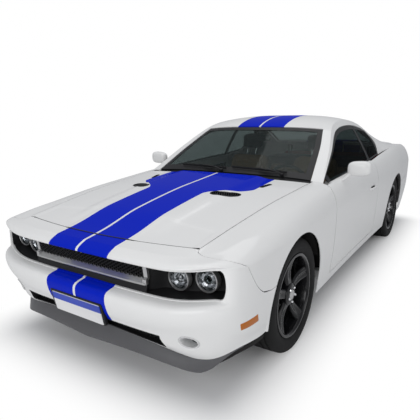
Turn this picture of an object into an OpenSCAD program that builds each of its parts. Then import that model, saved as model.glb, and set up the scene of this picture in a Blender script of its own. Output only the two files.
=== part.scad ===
/* [Overall] */
// Length from the nose to the tail
car_l = 5023; // [4800:1:5300]
// Width across the body sides
car_w = 1923; // [1870:1:1980]
// Height of the roof above the ground
car_h = 1450; // [1400:1:1500]
// Distance between the front and the rear axle
wheelbase = 2946; // [2860:1:3020]
// Distance from the nose to the front axle
front_overhang = 945; // [920:1:980]
// Distance between the middle planes of two wheels on one axle
track = 1600; // [1570:1:1620]

/* [Wheels] */
// Outer diameter of a tyre
tyre_d = 728; // [690:1:745]
// Width of a tyre
tyre_w = 245; // [225:1:265]
// Height of a tyre's side wall
tyre_wall = 107; // [95:1:115]
// Width of the rim
rim_w = 222; // [200:1:230]
// Spokes in a wheel
spokes = 5; // [4:1:7]
// Width of a spoke where it meets the rim
spoke_w = 108; // [80:1:120]
// Diameter of the brake disc
disc_d = 340; // [300:1:360]
// Diameter of the stub axle that carries a wheel
spindle_d = 60; // [44:1:70]
// Diameter of the pin on which a front wheel steers
kingpin_d = 40; // [30:1:46]
// Space round a tyre under the wheel arch
arch_space = 36; // [30:1:50]

/* [Panels] */
// Thickness of the body side panels
panel_t = 14; // [10:1:16]
// Thickness of the hood
hood_t = 24; // [18:1:28]
// Thickness of the decklid
deck_t = 24; // [18:1:28]
// Thickness of the roof and its pillars
roof_t = 26; // [20:1:32]
// Thickness of the window glass
glass_t = 6; // [4:1:8]
// Step of the glass below the painted surface round it
glass_step = 4; // [2:1:6]
// Depth of a door at its belt
door_t = 60; // [46:1:70]
// Gap round the doors and lids
shut_gap = 6; // [5:0.5:8]
// Gap between panels that are fixed to each other
seam = 0.5; // [0.3:0.1:0.8]

/* [Doors and lids] */
// Distance from the front axle back to the front edge of a door
door_front = 686; // [660:1:720]
// Length of a door at its skin
door_l = 1350; // [1250:1:1380]
// Diameter of the hinge pins
pin_d = 16; // [12:1:20]
// Running clearance of pins and stub axles, on the radius
run_gap = 0.05; // [0.02:0.01:0.1]

/* [Front end] */
// Depth of the mouth at the lamps
mouth_depth = 128; // [110:1:140]
// Depth of the mouth behind the grille
grille_set = 44; // [36:1:60]
// Diameter of a headlamp
lamp_d = 130; // [116:1:131]
// Width of the number plate
plate_w = 400; // [300:1:440]
// Height of the number plate
plate_h = 130; // [100:1:140]
// Thickness of the number plate
plate_t = 6; // [3:1:8]

/* [Inside] */
// Width of a front seat
seat_w = 520; // [480:1:530]
// Diameter of the steering wheel
steer_d = 375; // [350:1:390]

/* [Hidden] */
$fn = 48;

// Overrun of every cut past the face that it opens
over = 1;
// Gap at a seat where one fixed piece carries another
seat_gap = 0.3;

// Places that follow from the main sizes: X runs forward, Y to the left, Z up from the ground
half_w = car_w / 2;
front_x = car_l / 2 - front_overhang;
rear_x = front_x - wheelbase;
axle_z = tyre_d / 2;
rim_d = tyre_d - 2 * tyre_wall;
wheel_y = track / 2;
arch_r = tyre_d / 2 + arch_space;
door_x = front_x - door_front;
door_end = door_x - door_l;

// Sections of the body side, from the tail to the nose. Columns: station as a share of the length,
// shoulder width and height, crease width and height, sill width and height. Widths are shares of
// half the car's width and heights are shares of its height.
section_shares = [
    [-0.458, 0.832, 0.724, 0.962, 0.586, 0.905, 0.181],
    [-0.378, 0.868, 0.735, 0.986, 0.586, 0.936, 0.166],
    [-0.275, 0.884, 0.735, 1.000, 0.576, 0.962, 0.156],
    [-0.179, 0.886, 0.714, 0.988, 0.562, 0.941, 0.152],
    [-0.096, 0.889, 0.691, 0.978, 0.552, 0.932, 0.150],
    [0.000, 0.894, 0.679, 0.973, 0.547, 0.929, 0.150],
    [0.090, 0.898, 0.670, 0.976, 0.545, 0.930, 0.150],
    [0.179, 0.897, 0.659, 0.982, 0.543, 0.936, 0.151],
    [0.249, 0.890, 0.643, 0.988, 0.541, 0.946, 0.155],
    [0.312, 0.882, 0.626, 0.992, 0.539, 0.955, 0.159],
    [0.394, 0.861, 0.594, 0.986, 0.531, 0.949, 0.168],
    [0.478, 0.832, 0.560, 0.972, 0.514, 0.936, 0.172]
];

// Middle line of the deck and the hood. Columns: station as a share of the length, height as a share
// of the car's height.
crown_shares = [
    [-0.488, 0.719], [-0.458, 0.728], [-0.398, 0.740], [-0.338, 0.747], [-0.299, 0.752],
    [0.169, 0.693], [0.196, 0.688], [0.249, 0.672], [0.312, 0.652], [0.394, 0.610], [0.463, 0.564],
    [0.486, 0.552]
];

// Middle profile of the nose. Columns: level on the body side (0 sill, 1 crease, 2 shoulder), setback
// from the nose as a share of the front overhang, height as a share of the car's height.
nose_shares = [
    [0.00, 0.100, 0.163], [0.10, 0.066, 0.190], [0.20, 0.042, 0.228], [0.35, 0.019, 0.297],
    [0.48, 0.002, 0.352], [0.54, 0.000, 0.376], [0.58, 0.0085, 0.392], [0.61, 0.032, 0.401],
    [0.64, 0.082, 0.406], [0.96, 0.074, 0.514], [1.05, 0.049, 0.519], [1.20, 0.042, 0.526],
    [1.50, 0.061, 0.539], [2.00, 0.111, 0.555]
];

// Middle profile of the tail, with the same columns; the setback is a share of the rear overhang.
tail_shares = [
    [0.00, 0.106, 0.190], [0.15, 0.053, 0.234], [0.35, 0.016, 0.310], [0.55, 0.000, 0.400],
    [0.64, 0.004, 0.450], [0.70, 0.018, 0.490], [0.74, 0.036, 0.507], [0.78, 0.060, 0.514],
    [1.10, 0.060, 0.621], [1.25, 0.046, 0.638], [1.50, 0.040, 0.659], [2.00, 0.060, 0.703]
];

// Glass house from the cowl to the deck. Columns: step, middle line station and height, rail station,
// rail width and rail height, as shares of the car's length, half width and height.
house_shares = [
    [0, 0.1851, 0.6897, 0.1728, 0.8500, 0.6662],
    [1, 0.1095, 0.8310, 0.0956, 0.7650, 0.8138],
    [2, 0.0338, 0.9607, 0.0199, 0.6600, 0.9393],
    [3, -0.0597, 1.0000, -0.0637, 0.6420, 0.9655],
    [4, -0.1672, 0.9655, -0.1593, 0.6400, 0.9276],
    [5, -0.2449, 0.8655, -0.2389, 0.6880, 0.8379],
    [6, -0.3265, 0.7531, -0.3185, 0.7644, 0.7503]
];

// Curves that blend numbers and tables
function mix(a, b, t) = a + (b - a) * t;
function clamp01(t) = min(1, max(0, t));
function ease(t) = let (c = clamp01(t)) c * c * (3 - 2 * c);
function flat(rows) = [for (row = rows) each row];
function between(from, to, count) = [for (k = [0 : count]) mix(from, to, k / count)];
function unit(v) = v / norm(v);
function hermite(a, b, slope_a, slope_b, t) =
    a * (1 - t) * (1 - t) * (1 + 2 * t) + slope_a * t * (1 - t) * (1 - t)
    + b * t * t * (3 - 2 * t) - slope_b * t * t * (1 - t);
// Value of one column of a table at a place between its rows
function look(table, at, column) =
    let (last = len(table) - 1)
    at <= table[0][0] ? table[0][column] :
    at >= table[last][0] ? table[last][column] :
    let (
        k = max([for (i = [0 : last - 1]) if (table[i][0] <= at) i]),
        before = table[max(k - 1, 0)],
        low = table[k],
        high = table[k + 1],
        after = table[min(k + 2, last)],
        step = high[0] - low[0],
        slope_low = (high[column] - before[column]) / (high[0] - before[0]),
        slope_high = (after[column] - low[column]) / (after[0] - low[0])
    )
    hermite(low[column], high[column], slope_low * step, slope_high * step, (at - low[0]) / step);

// Solid between an outer and an inner grid of points; cells that aren't kept are openings
module skin(outer, inner, keep) {
    columns = len(outer);
    rows = len(outer[0]);
    under = columns * rows;
    function kept(i, j) = i >= 0 && j >= 0 && i < columns - 1 && j < rows - 1 && keep[i][j];
    faces = [
        for (i = [0 : columns - 2], j = [0 : rows - 2])
            if (kept(i, j))
                let (a = i * rows + j, b = a + rows, c = b + 1, d = a + 1)
                each concat(
                    [[a, d, c], [a, c, b], [a + under, c + under, d + under], [a + under, b + under, c + under]],
                    kept(i - 1, j) ? [] : [[d, a, a + under], [d, a + under, d + under]],
                    kept(i + 1, j) ? [] : [[b, c, c + under], [b, c + under, b + under]],
                    kept(i, j - 1) ? [] : [[a, b, b + under], [a, b + under, a + under]],
                    kept(i, j + 1) ? [] : [[c, d, d + under], [c, d + under, c + under]]
                )
    ];
    polyhedron(concat(flat(outer), flat(inner)), faces);
}
function whole(grid) = [for (i = [0 : len(grid) - 2]) [for (j = [0 : len(grid[0]) - 2]) true]];
function facing(grid, i, j) =
    let (
        along = grid[min(i + 1, len(grid) - 1)][j] - grid[max(i - 1, 0)][j],
        across = grid[i][min(j + 1, len(grid[0]) - 1)] - grid[i][max(j - 1, 0)]
    )
    unit(cross(along, across));
// Grid moved inwards, by one depth or by a depth for each point
function sunk(grid, depth) = [
    for (i = [0 : len(grid) - 1])
        [for (j = [0 : len(grid[0]) - 1])
            grid[i][j] - (is_num(depth) ? depth : depth[i][j]) * facing(grid, i, j)]
];
// Depths of a panel that is thin along its edges
edge_t = 3;
function thin_edged(grid, depth) =
    let (columns = len(grid) - 1, rows = len(grid[0]) - 1)
    [for (i = [0 : columns])
        [for (j = [0 : rows]) i == 0 || j == 0 || i == columns || j == rows ? edge_t : depth]];
module both_sides() {
    children();
    mirror([0, 1, 0]) children();
}
module block(low, high) translate(low) cube(high - low);
// Cylinder along Y between two places
module rod_y(x, z, y0, y1, d) translate([x, y0, z]) rotate([-90, 0, 0]) cylinder(h = y1 - y0, d = d);
module rod_z(x, y, z0, z1, d) translate([x, y, z0]) cylinder(h = z1 - z0, d = d);

// Body side
tuck_share = 2.2;
crease_angle = 18;
roll_angle = 80;
function section(x, column) = look(section_shares, x / car_l, column);
function shoulder_y(x) = section(x, 1) * half_w;
function shoulder_z(x) = section(x, 2) * car_h;
function crease_y(x) = section(x, 3) * half_w;
function crease_z(x) = section(x, 4) * car_h;
function sill_y(x) = section(x, 5) * half_w;
function sill_z(x) = section(x, 6) * car_h;
function crown_z(x) = look(crown_shares, x / car_l, 1) * car_h;
// Level of a height on the lower body side
function level_of(x, z) = (z - sill_z(x)) / (crease_z(x) - sill_z(x));

// Cut lines of the hood and the deck: end 0 is the front, end 1 the rear
end_sign = [1, -1];
overhang = [front_overhang, car_l - wheelbase - front_overhang];
axle_x = [front_x, rear_x];
profile_shares = [nose_shares, tail_shares];
cap_margin = 14;
cap_x = [for (e = [0, 1]) axle_x[e] + end_sign[e] * (arch_r + cap_margin)];
// Place of the lid's outer edge, its bow and its half widths outside and inside
lid_tip_share = [0.196, 0.076];
lid_tip = [for (e = [0, 1]) end_sign[e] * (car_l / 2 - lid_tip_share[e] * overhang[e])];
lid_bow = [56, 64];
lid_tip_half_share = [0.718, 0.698];
lid_root_half_share = [0.790, 0.728];
hood_root_set = 84;
hood_root_x = door_x + hood_root_set;
deck_root_share = 0.3295;
lid_root = [hood_root_x, -deck_root_share * car_l];
root_bow = [58, 40];
lid_edge_share = 0.45;
function lid_corner(e) = lid_tip[e] - end_sign[e] * lid_bow[e];
function lid_half(e, x) =
    half_w * mix(lid_tip_half_share[e], lid_root_half_share[e], (lid_corner(e) - x) / (lid_corner(e) - lid_root[e]));
function lid_edge_z(x) = mix(shoulder_z(x), crown_z(x), lid_edge_share);
function lid_z(e, x, y) = crown_z(x) - (crown_z(x) - lid_edge_z(x)) * pow(abs(y) / lid_half(e, x), 2);
function end_of(x) = x > 0 ? 0 : 1;

function side_point(x, q) =
    q <= 1 ? [
        x,
        mix(sill_y(x), crease_y(x), 1 - pow(1 - q, tuck_share)),
        mix(sill_z(x), crease_z(x), q)
    ] :
    q <= 2 ? let (a = mix(crease_angle, roll_angle, q - 1)) [
        x,
        mix(crease_y(x), shoulder_y(x), (cos(crease_angle) - cos(a)) / (cos(crease_angle) - cos(roll_angle))),
        mix(crease_z(x), shoulder_z(x), (sin(a) - sin(crease_angle)) / (sin(roll_angle) - sin(crease_angle)))
    ] : [
        x,
        mix(shoulder_y(x), lid_half(end_of(x), x), q - 2),
        mix(shoulder_z(x), lid_edge_z(x), 1 - pow(3 - q, 2))
    ];

// Nose and tail: levels run round the end on a superellipse, from the middle (0) to the side (90), and
// the lowest levels are rounder than those from the bumper's edge up
end_power_share = [4, 5];
low_power_share = [2.8, 3.8];
power_level_share = 0.55;
function end_bend(e, q) = 2 / mix(low_power_share[e], end_power_share[e], ease(q / power_level_share));
corner_share = 0.83;
blend_angle = 20;
// Angle at which a level reaches a share of its half width
function angle_of(e, share) = asin(pow(share, end_power_share[e] / 2));
corner_angle = [for (e = [0, 1]) angle_of(e, corner_share)];
// Rise of the nose's middle levels towards its corners
corner_rise = [34, 0];
rise_share = 0.90;
rise_level_share = 0.4;
function rise_at(e, angle, q) =
    let (peak = angle_of(e, rise_share))
    corner_rise[e] * ease((angle - blend_angle) / (peak - blend_angle)) * (1 - ease((angle - peak) / (90 - peak)))
    * ease(q / rise_level_share) * (1 - ease(q - 1));
// Number plate on the nose: level of its top, its lean and how far it stands out
plate_level_share = 0.46;
plate_foot_share = 0.26;
plate_gap = 0.8;
function nose_z(q) = look(nose_shares, q, 2) * car_h;
function nose_set(q) = look(nose_shares, q, 1) * front_overhang;
plate_angle = atan((nose_set(plate_foot_share) - nose_set(plate_level_share))
                   / (nose_z(plate_level_share) - nose_z(plate_foot_share)));
end_setback = [max(0, (plate_gap + plate_t) / cos(plate_angle) - nose_set(plate_level_share)), 0];
// Setback of a level: past the slot's end the surface runs straight between the levels below and above it
smooth_level_shares = [[0.54, 1.20], [0.64, 1.25]];
smooth_shares = [0.86, 0.97];
function end_set(e, q, angle) =
    let (
        rows = profile_shares[e],
        low = smooth_level_shares[e][0],
        high = smooth_level_shares[e][1],
        from = angle_of(e, smooth_shares[0]),
        away = q <= low || q >= high ? 0 : ease((angle - from) / (angle_of(e, smooth_shares[1]) - from))
    )
    mix(look(rows, q, 1), mix(look(rows, low, 1), look(rows, high, 1), (q - low) / (high - low)), away);
function end_tip(e, q, angle = 0) =
    end_sign[e] * (car_l / 2 - end_setback[e] - end_set(e, q, angle) * overhang[e]);
function end_point(e, angle, q) =
    q > 2 ? mix(end_point(e, angle, 2), lid_outline(e, angle), q - 2) :
    let (
        bend = end_bend(e, q),
        x = cap_x[e] + (end_tip(e, q, angle) - cap_x[e]) * pow(cos(angle), bend),
        side = side_point(x, q),
        base = side_point(cap_x[e], q)
    )
    [x, base.y * pow(sin(angle), bend),
     rise_at(e, angle, q)
     + mix(look(profile_shares[e], q, 2) * car_h, side.z, ease((angle - blend_angle) / (90 - blend_angle)))];
// Outline of the lid next to the end: its outer edge up to the corner, then its side
function lid_outline(e, angle) =
    let (
        turn = angle / corner_angle[e],
        corner = lid_corner(e),
        y_front = turn * lid_half(e, corner),
        x = turn <= 1 ? lid_tip[e] - end_sign[e] * lid_bow[e] * turn * turn
            : mix(corner, cap_x[e], (angle - corner_angle[e]) / (90 - corner_angle[e])),
        y = turn <= 1 ? y_front : lid_half(e, x)
    )
    [x, y, lid_z(e, x, y)];

// Seam between an end panel and the wing behind it: level at an angle past the lid's corner
seam_top_share = 2.9;
seam_level_share = [0.60, 0.66];
seam_bend_share = [0.55, 0.45];
// Space between the end panel and the wing along the seam, and the step in level that spans it
seam_space = 5.4;
seam_step_share = 0.02;
function seam_rise(e, angle, q) =
    seam_space * seam_step_share / norm(end_point(e, angle, q + seam_step_share) - end_point(e, angle, q));
function seam_q(e, angle) =
    mix(seam_top_share, seam_level_share[e],
        pow(clamp01((angle - corner_angle[e]) / (90 - corner_angle[e])), seam_bend_share[e]));
// Height at which the seam meets the wheel arch, and the arch's angle there
function seam_z(e) = side_point(cap_x[e], seam_level_share[e]).z;
function seam_arch_angle(e) = asin((seam_z(e) - axle_z) / arch_r);

// Fascia: nose or tail panel with a sunk slot across it
// Rows as levels, with the slot's lower and upper edge at slot_rows
fascia_level_shares = [
    [0, 0.06, 0.19, 0.30, 0.45, 0.54, 0.585, 0.64, 0.66, 0.72, 0.80, 0.88, 0.94, 0.96, 1.10, 1.30, 2, 3],
    [0, 0.12, 0.30, 0.48, 0.60, 0.70, 0.74, 0.78, 0.81, 0.87, 0.94, 1.01, 1.07, 1.10, 1.25, 1.50, 2, 3]
];
slot_rows = [7, 13];
// Columns as shares of the half width, with the slot's end at slot_column
fascia_width_shares = [0, 0.15, 0.30, 0.43, 0.55, 0.66, 0.75, 0.83, 0.878, 0.900, 0.938, 0.966, 0.985, 0.996, 1];
fascia_angles = [for (e = [0, 1]) [for (share = fascia_width_shares) angle_of(e, share)]];
corner_column = 7;
slot_column = 9;
slot_round_angle = [5, 2];
slot_near = 2;
slot_margin_share = 0.04;
tail_slot_depth = 36;
// Clearance of the panel that closes the slot
slot_gap = [1.1, 1.2];
// Angles where the mouth is as deep as the grille and as deep as the lamps
mouth_shares = [0.44, 0.54];
function slot_depth(e, angle) =
    let (from = angle_of(0, mouth_shares[0]), to = angle_of(0, mouth_shares[1]))
    e == 1 ? tail_slot_depth : mix(grille_set, mouth_depth, ease((angle - from) / (to - from)));
// Rows and last column of the lower air intake, open the same way
intake_rows = [1, 2];
intake_column = 5;
fascia_half = len(fascia_width_shares) - 1;
fascia_last = len(fascia_level_shares[0]) - 1;

function slot_middle(e) = (fascia_level_shares[e][slot_rows[0]] + fascia_level_shares[e][slot_rows[1]]) / 2;
function slot_half(e) = (fascia_level_shares[e][slot_rows[1]] - fascia_level_shares[e][slot_rows[0]]) / 2;
function in_slot(j) = j >= slot_rows[0] && j <= slot_rows[1];
// Angle of a column at a row: the slot's ends are round
function fascia_angle(e, k, j) =
    let (
        off = in_slot(j) ? (fascia_level_shares[e][j] - slot_middle(e)) / slot_half(e) : 1,
        near = max(0, 1 - abs(k - slot_column) / slot_near)
    )
    fascia_angles[e][k] + slot_round_angle[e] * sqrt(max(0, 1 - off * off)) * near;
function fascia_top(e, angle) = angle < corner_angle[e] ? 3 : seam_q(e, angle);
function fascia_level(e, angle, j) =
    let (
        levels = fascia_level_shares[e],
        slot_top = levels[slot_rows[1]],
        end_angle = fascia_angles[e][slot_column],
        squeeze = mix(1, (seam_level_share[e] - slot_margin_share) / slot_top,
            ease((angle - end_angle) / (90 - end_angle)))
    )
    j <= slot_rows[1] ? levels[j] * squeeze
    : mix(slot_top * squeeze, fascia_top(e, angle), (levels[j] - slot_top) / (3 - slot_top));
// A point of the fascia, sunk inside the slot
function fascia_point(e, k, j) =
    let (
        angle = fascia_angle(e, k, j),
        p = end_point(e, angle, fascia_level(e, angle, j))
    )
    is_deep(k, j) ? p - slot_depth(e, angle) * slot_way(e, angle) : p;
// Way out of the slot at an angle
function slot_way(e, angle) = [end_sign[e] * cos(angle / 2), sin(angle / 2) / 2, 0];
// Last column, along the front or rear of the wheel arch
function fascia_arch_point(e, j) =
    let (
        q = fascia_level(e, 90, j),
        z = side_point(cap_x[e], q).z,
        reach = z > axle_z ? sqrt(max(0, arch_r * arch_r - pow(z - axle_z, 2))) : arch_r,
        x = axle_x[e] + end_sign[e] * reach
    )
    side_point(x, level_of(x, z));
function slot_seat(e, k, j) = fascia_point(e, k, j) - slot_gap[e] * slot_way(e, fascia_angle(e, k, j));
function fascia_side(e) = [
    for (k = [0 : fascia_half + 1])
        [for (j = [0 : fascia_last]) k > fascia_half ? fascia_arch_point(e, j) : fascia_point(e, k, j)]
];
// Inner side of the fascia: thin at its edges, and the walls round the slot end flush with its depth
function is_deep(k, j) = k < slot_column && j > slot_rows[0] && j < slot_rows[1];
function fascia_inner_side(e, side) =
    let (thick = thin_edged(side, panel_t))
    [for (k = [0 : fascia_half + 1])
        [for (j = [0 : fascia_last])
            let (
                edge_k = k == slot_column - 1 && is_deep(k, j) ? slot_column : k,
                edge_j = j == slot_rows[0] + 1 ? slot_rows[0] : j == slot_rows[1] - 1 ? slot_rows[1] : j,
                way = is_deep(k, j) ? unit(slot_way(e, fascia_angle(e, k, j))) : [0, 0, 0],
                out = end_sign[e] * facing(side, is_deep(k, j) ? edge_k : k, is_deep(k, j) ? edge_j : j),
                away = is_deep(k, j) ? unit(out - (out * way) * way) : out
            )
            side[k][j] - (j >= fascia_last - 1 ? edge_t : k == 0 ? panel_t : thick[k][j]) * away]];
function swap_side(column) = [for (p = column) [p.x, -p.y, p.z]];
function reversed(list) = [for (i = [len(list) - 1 : -1 : 0]) list[i]];
// Whole grid across the car, ordered so that it faces outwards
function across_car(e, side) =
    let (other = [for (k = [1 : len(side) - 1]) swap_side(side[k])])
    e == 0 ? concat(reversed(other), side) : concat(reversed(side), other);
function fascia_keep(e) = [
    for (i = [0 : 2 * fascia_half + 1])
        let (k = max(i, 2 * fascia_half + 1 - i) - fascia_half - 1)
        [for (j = [0 : fascia_last - 1])
            !(k < slot_column - 1 && j > slot_rows[0] && j < slot_rows[1] - 1)
            && !(e == 0 && k < intake_column && j >= intake_rows[0] && j < intake_rows[1])]
];
module fascia(e) {
    side = fascia_side(e);
    skin(across_car(e, side), across_car(e, fascia_inner_side(e, side)), fascia_keep(e));
}

// Glass house
rail_power_share = 3;
side_bulge = 10;
window_inset = 16;
sail_step_share = 4.3;
function house_inset(step) = mix(window_inset, seam, ease(step - sail_step_share));
function house(step, column, size) = look(house_shares, step, column) * size;
function house_point(step, v) =
    let (
        middle_x = house(step, 1, car_l),
        middle_z = house(step, 2, car_h),
        rail_x = house(step, 3, car_l),
        rail_y = house(step, 4, half_w),
        rail_z = house(step, 5, car_h),
        side = v < 0 ? -1 : 1,
        w = abs(v),
        drop = pow(min(w, 1), rail_power_share),
        down = w - 1
    )
    w <= 1
        ? [mix(middle_x, rail_x, w * w), v * rail_y, mix(middle_z, rail_z, drop)]
        : [rail_x,
           side * (mix(rail_y, shoulder_y(rail_x) - house_inset(step), down) + side_bulge * 4 * down * (1 - down)),
           mix(rail_z, shoulder_z(rail_x) + seam, down)];
// Rows across the house from the left belt over the roof to the right belt, and steps along it
window_top_share = 1.12;
pillar_inner_share = 0.90;
house_row_shares = [2, 1.7, 1.4, 1.12, 1, 0.90, 0.6, 0.3];
house_rows = concat(house_row_shares, [0], [for (v = reversed(house_row_shares)) -v]);
house_step_shares = [0, 0.22, 0.6, 1, 1.36, 1.74, 2.3, 2.9, 3.4, 3.8, 4.12, 4.65, 5.2, 5.86, 6];
window_front_column = 0;
windshield_column = 5;
window_end_column = 10;
rear_window_column = 13;
window_end_bend_share = 0.42;
window_end_power_share = 0.8;
// Rear end of the side windows leans back and turns in at the belt
function house_step(i, v) =
    let (t = clamp01((abs(v) - 1) / (2 - 1)))
    house_step_shares[i] +
        (i == window_end_column ? window_end_bend_share * sin(180 * pow(t, window_end_power_share)) : 0);
function house_grid(columns, rows) = [for (i = columns) [for (v = rows) house_point(house_step(i, v), v)]];
function house_kept(i, v0, v1) =
    let (side = min(abs(v0), abs(v1)) >= 1, low = max(abs(v0), abs(v1)))
    side
        ? !(min(abs(v0), abs(v1)) >= window_top_share && i >= window_front_column && i < window_end_column)
        : low > pillar_inner_share || (i >= windshield_column && i < window_end_column) || i >= rear_window_column;

// Hinge line of a door, inside its skin; the door's front edge turns clear of the fender
hinge_inset = 48;
door_front_r = 90;
hinge_y = crease_y(door_x) - hinge_inset;
hinge_x = door_x - sqrt(door_front_r * door_front_r - hinge_inset * hinge_inset);
wing_edge_gap = sqrt(pow(door_front_r + shut_gap, 2) - hinge_inset * hinge_inset) - (door_x - hinge_x);

// Wing: front fender or rear quarter, from the end panel to the door
wing_rows = 8;
wing_top_rows = 2;
arch_steps = 8;
arch_leg = 10;
function wing_split(low) = max(2, mix(low, 3, 0.5));
function wing_levels(low) = concat(
    [for (j = [0 : wing_rows]) mix(low, wing_split(low), j / wing_rows)],
    [for (j = [1 : wing_top_rows]) mix(wing_split(low), 3, j / wing_top_rows)]
);
function side_column(x, low) = [for (q = wing_levels(low)) side_point(x, q)];
function cap_column(e, angle) =
    let (low = seam_q(e, angle))
    [for (q = wing_levels(low + seam_rise(e, angle, low))) end_point(e, angle, q)];
// Angles round the arch from the seam to the door side, with one at the end of the glass house
arch_near_steps = 3;
house_end = house(6, 3, car_l);
function arch_break(e) =
    let (share = (house_end - axle_x[e]) / (end_sign[e] * arch_r))
    e == 0 ? 90 : min(120, max(seam_arch_angle(e) + arch_near_steps, acos(min(1, max(-1, share)))));
function arch_angles(e) = concat(
    between(seam_arch_angle(e), arch_break(e), arch_near_steps),
    [for (k = [1 : arch_steps]) mix(arch_break(e), 180, k / arch_steps)]
);
function arch_columns(e) = [
    for (a = arch_angles(e))
        let (x = axle_x[e] + end_sign[e] * arch_r * cos(a))
        side_column(x, level_of(x, axle_z + arch_r * sin(a) + seam_space))
];
// Stations between the arch and the door, as shares of that stretch
wing_door_shares = [0, 0.3, 0.65, 1];
wing_door_x = [door_x + wing_edge_gap, door_end - shut_gap];
function wing_leg_x(e) = axle_x[e] - end_sign[e] * (arch_r + arch_leg);
function wing_grid(e) =
    let (
        caps = [for (k = [corner_column : fascia_half - 1]) cap_column(e, fascia_angles[e][k])],
        start = [side_column(cap_x[e], seam_level_share[e] + seam_rise(e, 90, seam_level_share[e]))],
        back = [for (s = wing_door_shares) side_column(mix(wing_leg_x(e), wing_door_x[e], s), 0)],
        front_to_rear = concat(caps, start, arch_columns(e), back)
    )
    e == 0 ? front_to_rear : reversed(front_to_rear);
function wing_keep(e, grid) = [
    for (i = [0 : len(grid) - 2])
        [for (j = [0 : wing_rows + wing_top_rows - 1])
            e == 0 || j < wing_rows || grid[i][0].x < house_end + over]
];
module wing(e) {
    outer = wing_grid(e);
    skin(outer, sunk(outer, thin_edged(outer, panel_t)), wing_keep(e, outer));
}

// Door
door_bottom_share = 0.125;
door_rows = 12;
hinge_free = 34;
door_flange_t = 13;
// Stations along the door behind its hinge, as shares of that stretch
door_shares = [0, 0.2, 0.4, 0.6, 0.8, 1];
door_trim_y = shoulder_y(door_x) - door_t;
door_rear_inset = 4;
function door_stations() = concat(
    [door_x, mix(door_x, hinge_x, 0.5), hinge_x - hinge_free],
    [for (s = door_shares) mix(hinge_x - hinge_free - over, door_end, s)]
);
function door_level(j) = mix(door_bottom_share, 2, j / door_rows);
module door_panel() {
    stations = door_stations();
    outer = [for (x = stations) [for (j = [0 : door_rows]) side_point(x, door_level(j))]];
    flange = sunk(outer, door_flange_t);
    inner = [
        for (i = [0 : len(stations) - 1])
            [for (j = [0 : door_rows])
                i < 3 ? flange[i][j]
                    : [stations[i] + (i == len(stations) - 1 ? door_rear_inset : 0), door_trim_y, outer[i][j].z]]
    ];
    skin(outer, inner, whole(outer));
}

// Hood and decklid
lid_columns = 11;
lid_rows = 12;
bulge_h = 16;
bulge_half_share = 0.46;
bulge_edge_share = 0.14;
bulge_start = 60;
bulge_run = 300;
spoiler_h = 34;
spoiler_l = 150;
spoiler_power_share = 6;
function lid_form(e, x, y) =
    let (half = lid_half(e, x), across = abs(y) / half, from_tip = abs(lid_tip[e] - x))
    lid_z(e, x, y) + (e == 0
        ? bulge_h * (1 - ease((across - bulge_half_share) / bulge_edge_share))
            * ease((from_tip - bulge_start) / bulge_run)
        : spoiler_h * (1 - ease(from_tip / spoiler_l)) * (1 - pow(across, spoiler_power_share)));
function lid_point(e, s, t) =
    let (
        tip = lid_tip[e] - end_sign[e] * (lid_bow[e] * t * t + shut_gap),
        root = lid_root[e] + end_sign[e] * root_bow[e] * (e == 0 ? 1 - t * t : -t * t),
        x = mix(tip, root, s),
        y = t * (lid_half(e, x) - shut_gap)
    )
    [x, y, lid_form(e, x, y)];
function lid_grid(e) = [
    for (i = [0 : lid_columns])
        [for (j = [0 : lid_rows]) lid_point(e, e == 0 ? i / lid_columns : 1 - i / lid_columns, 1 - 2 * j / lid_rows)]
];
module lid(e, thickness) {
    outer = lid_grid(e);
    skin(outer, sunk(outer, thickness), whole(outer));
}

// Air vents through the hood: a wide one behind each side of the bulge, a narrow one in each rear corner
vent_shares = [[0.3026, 0.395], [0.2370, 0.536]];
vent_l = [200, 110];
vent_w = [76, 24];
vent_angle = [118, -14];
module hood_vents() {
    both_sides() for (k = [0, 1])
        translate([vent_shares[k][0] * car_l, vent_shares[k][1] * half_w, shelf_z]) rotate([0, 0, vent_angle[k]])
            linear_extrude(car_h - shelf_z) {
                square([vent_l[k] - vent_w[k], vent_w[k]], center = true);
                for (way = [-1, 1])
                    translate([way * (vent_l[k] - vent_w[k]) / 2, 0]) circle(d = vent_w[k]);
            }
}

// Wheels and steering
rim_t = 9;
hub_d = 150;
hub_face = 34;
spoke_t = 26;
spoke_dish = 22;
disc_t = 26;
disc_inset = 26;
wheel_gap = 6;
kingpin_inset = 92;
kingpin_y = wheel_y - kingpin_inset;
kingpin_half = 150;
arm_t = 34;
arm_gap = 108;
eye_wall = 12;
tyre_shoulder = 18;
caliper_l = 150;
caliper_t = 22;
caliper_gap = 5;

module tyre(x, y) {
    r = tyre_d / 2;
    bead = rim_d / 2 + seat_gap;
    half = tyre_w / 2;
    bead_half = rim_w / 2 - rim_t - seat_gap;
    flange = bead + rim_t + over;
    bulge = bead + tyre_wall / 2;
    color([0.05, 0.05, 0.055])
        translate([x, y, axle_z]) rotate([90, 0, 0]) rotate_extrude($fn = 64)
            polygon([
                [bead, -bead_half], [flange, -bead_half], [flange + rim_t, -half + tyre_shoulder / 2], [bulge, -half],
                [r - tyre_shoulder, -half + tyre_shoulder / 3], [r - tyre_shoulder / 4, -half + tyre_shoulder],
                [r, -half + 2 * tyre_shoulder], [r, half - 2 * tyre_shoulder],
                [r - tyre_shoulder / 4, half - tyre_shoulder], [r - tyre_shoulder, half - tyre_shoulder / 3],
                [bulge, half], [flange + rim_t, half - tyre_shoulder / 2], [flange, bead_half], [bead, bead_half]
            ]);
}

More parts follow.
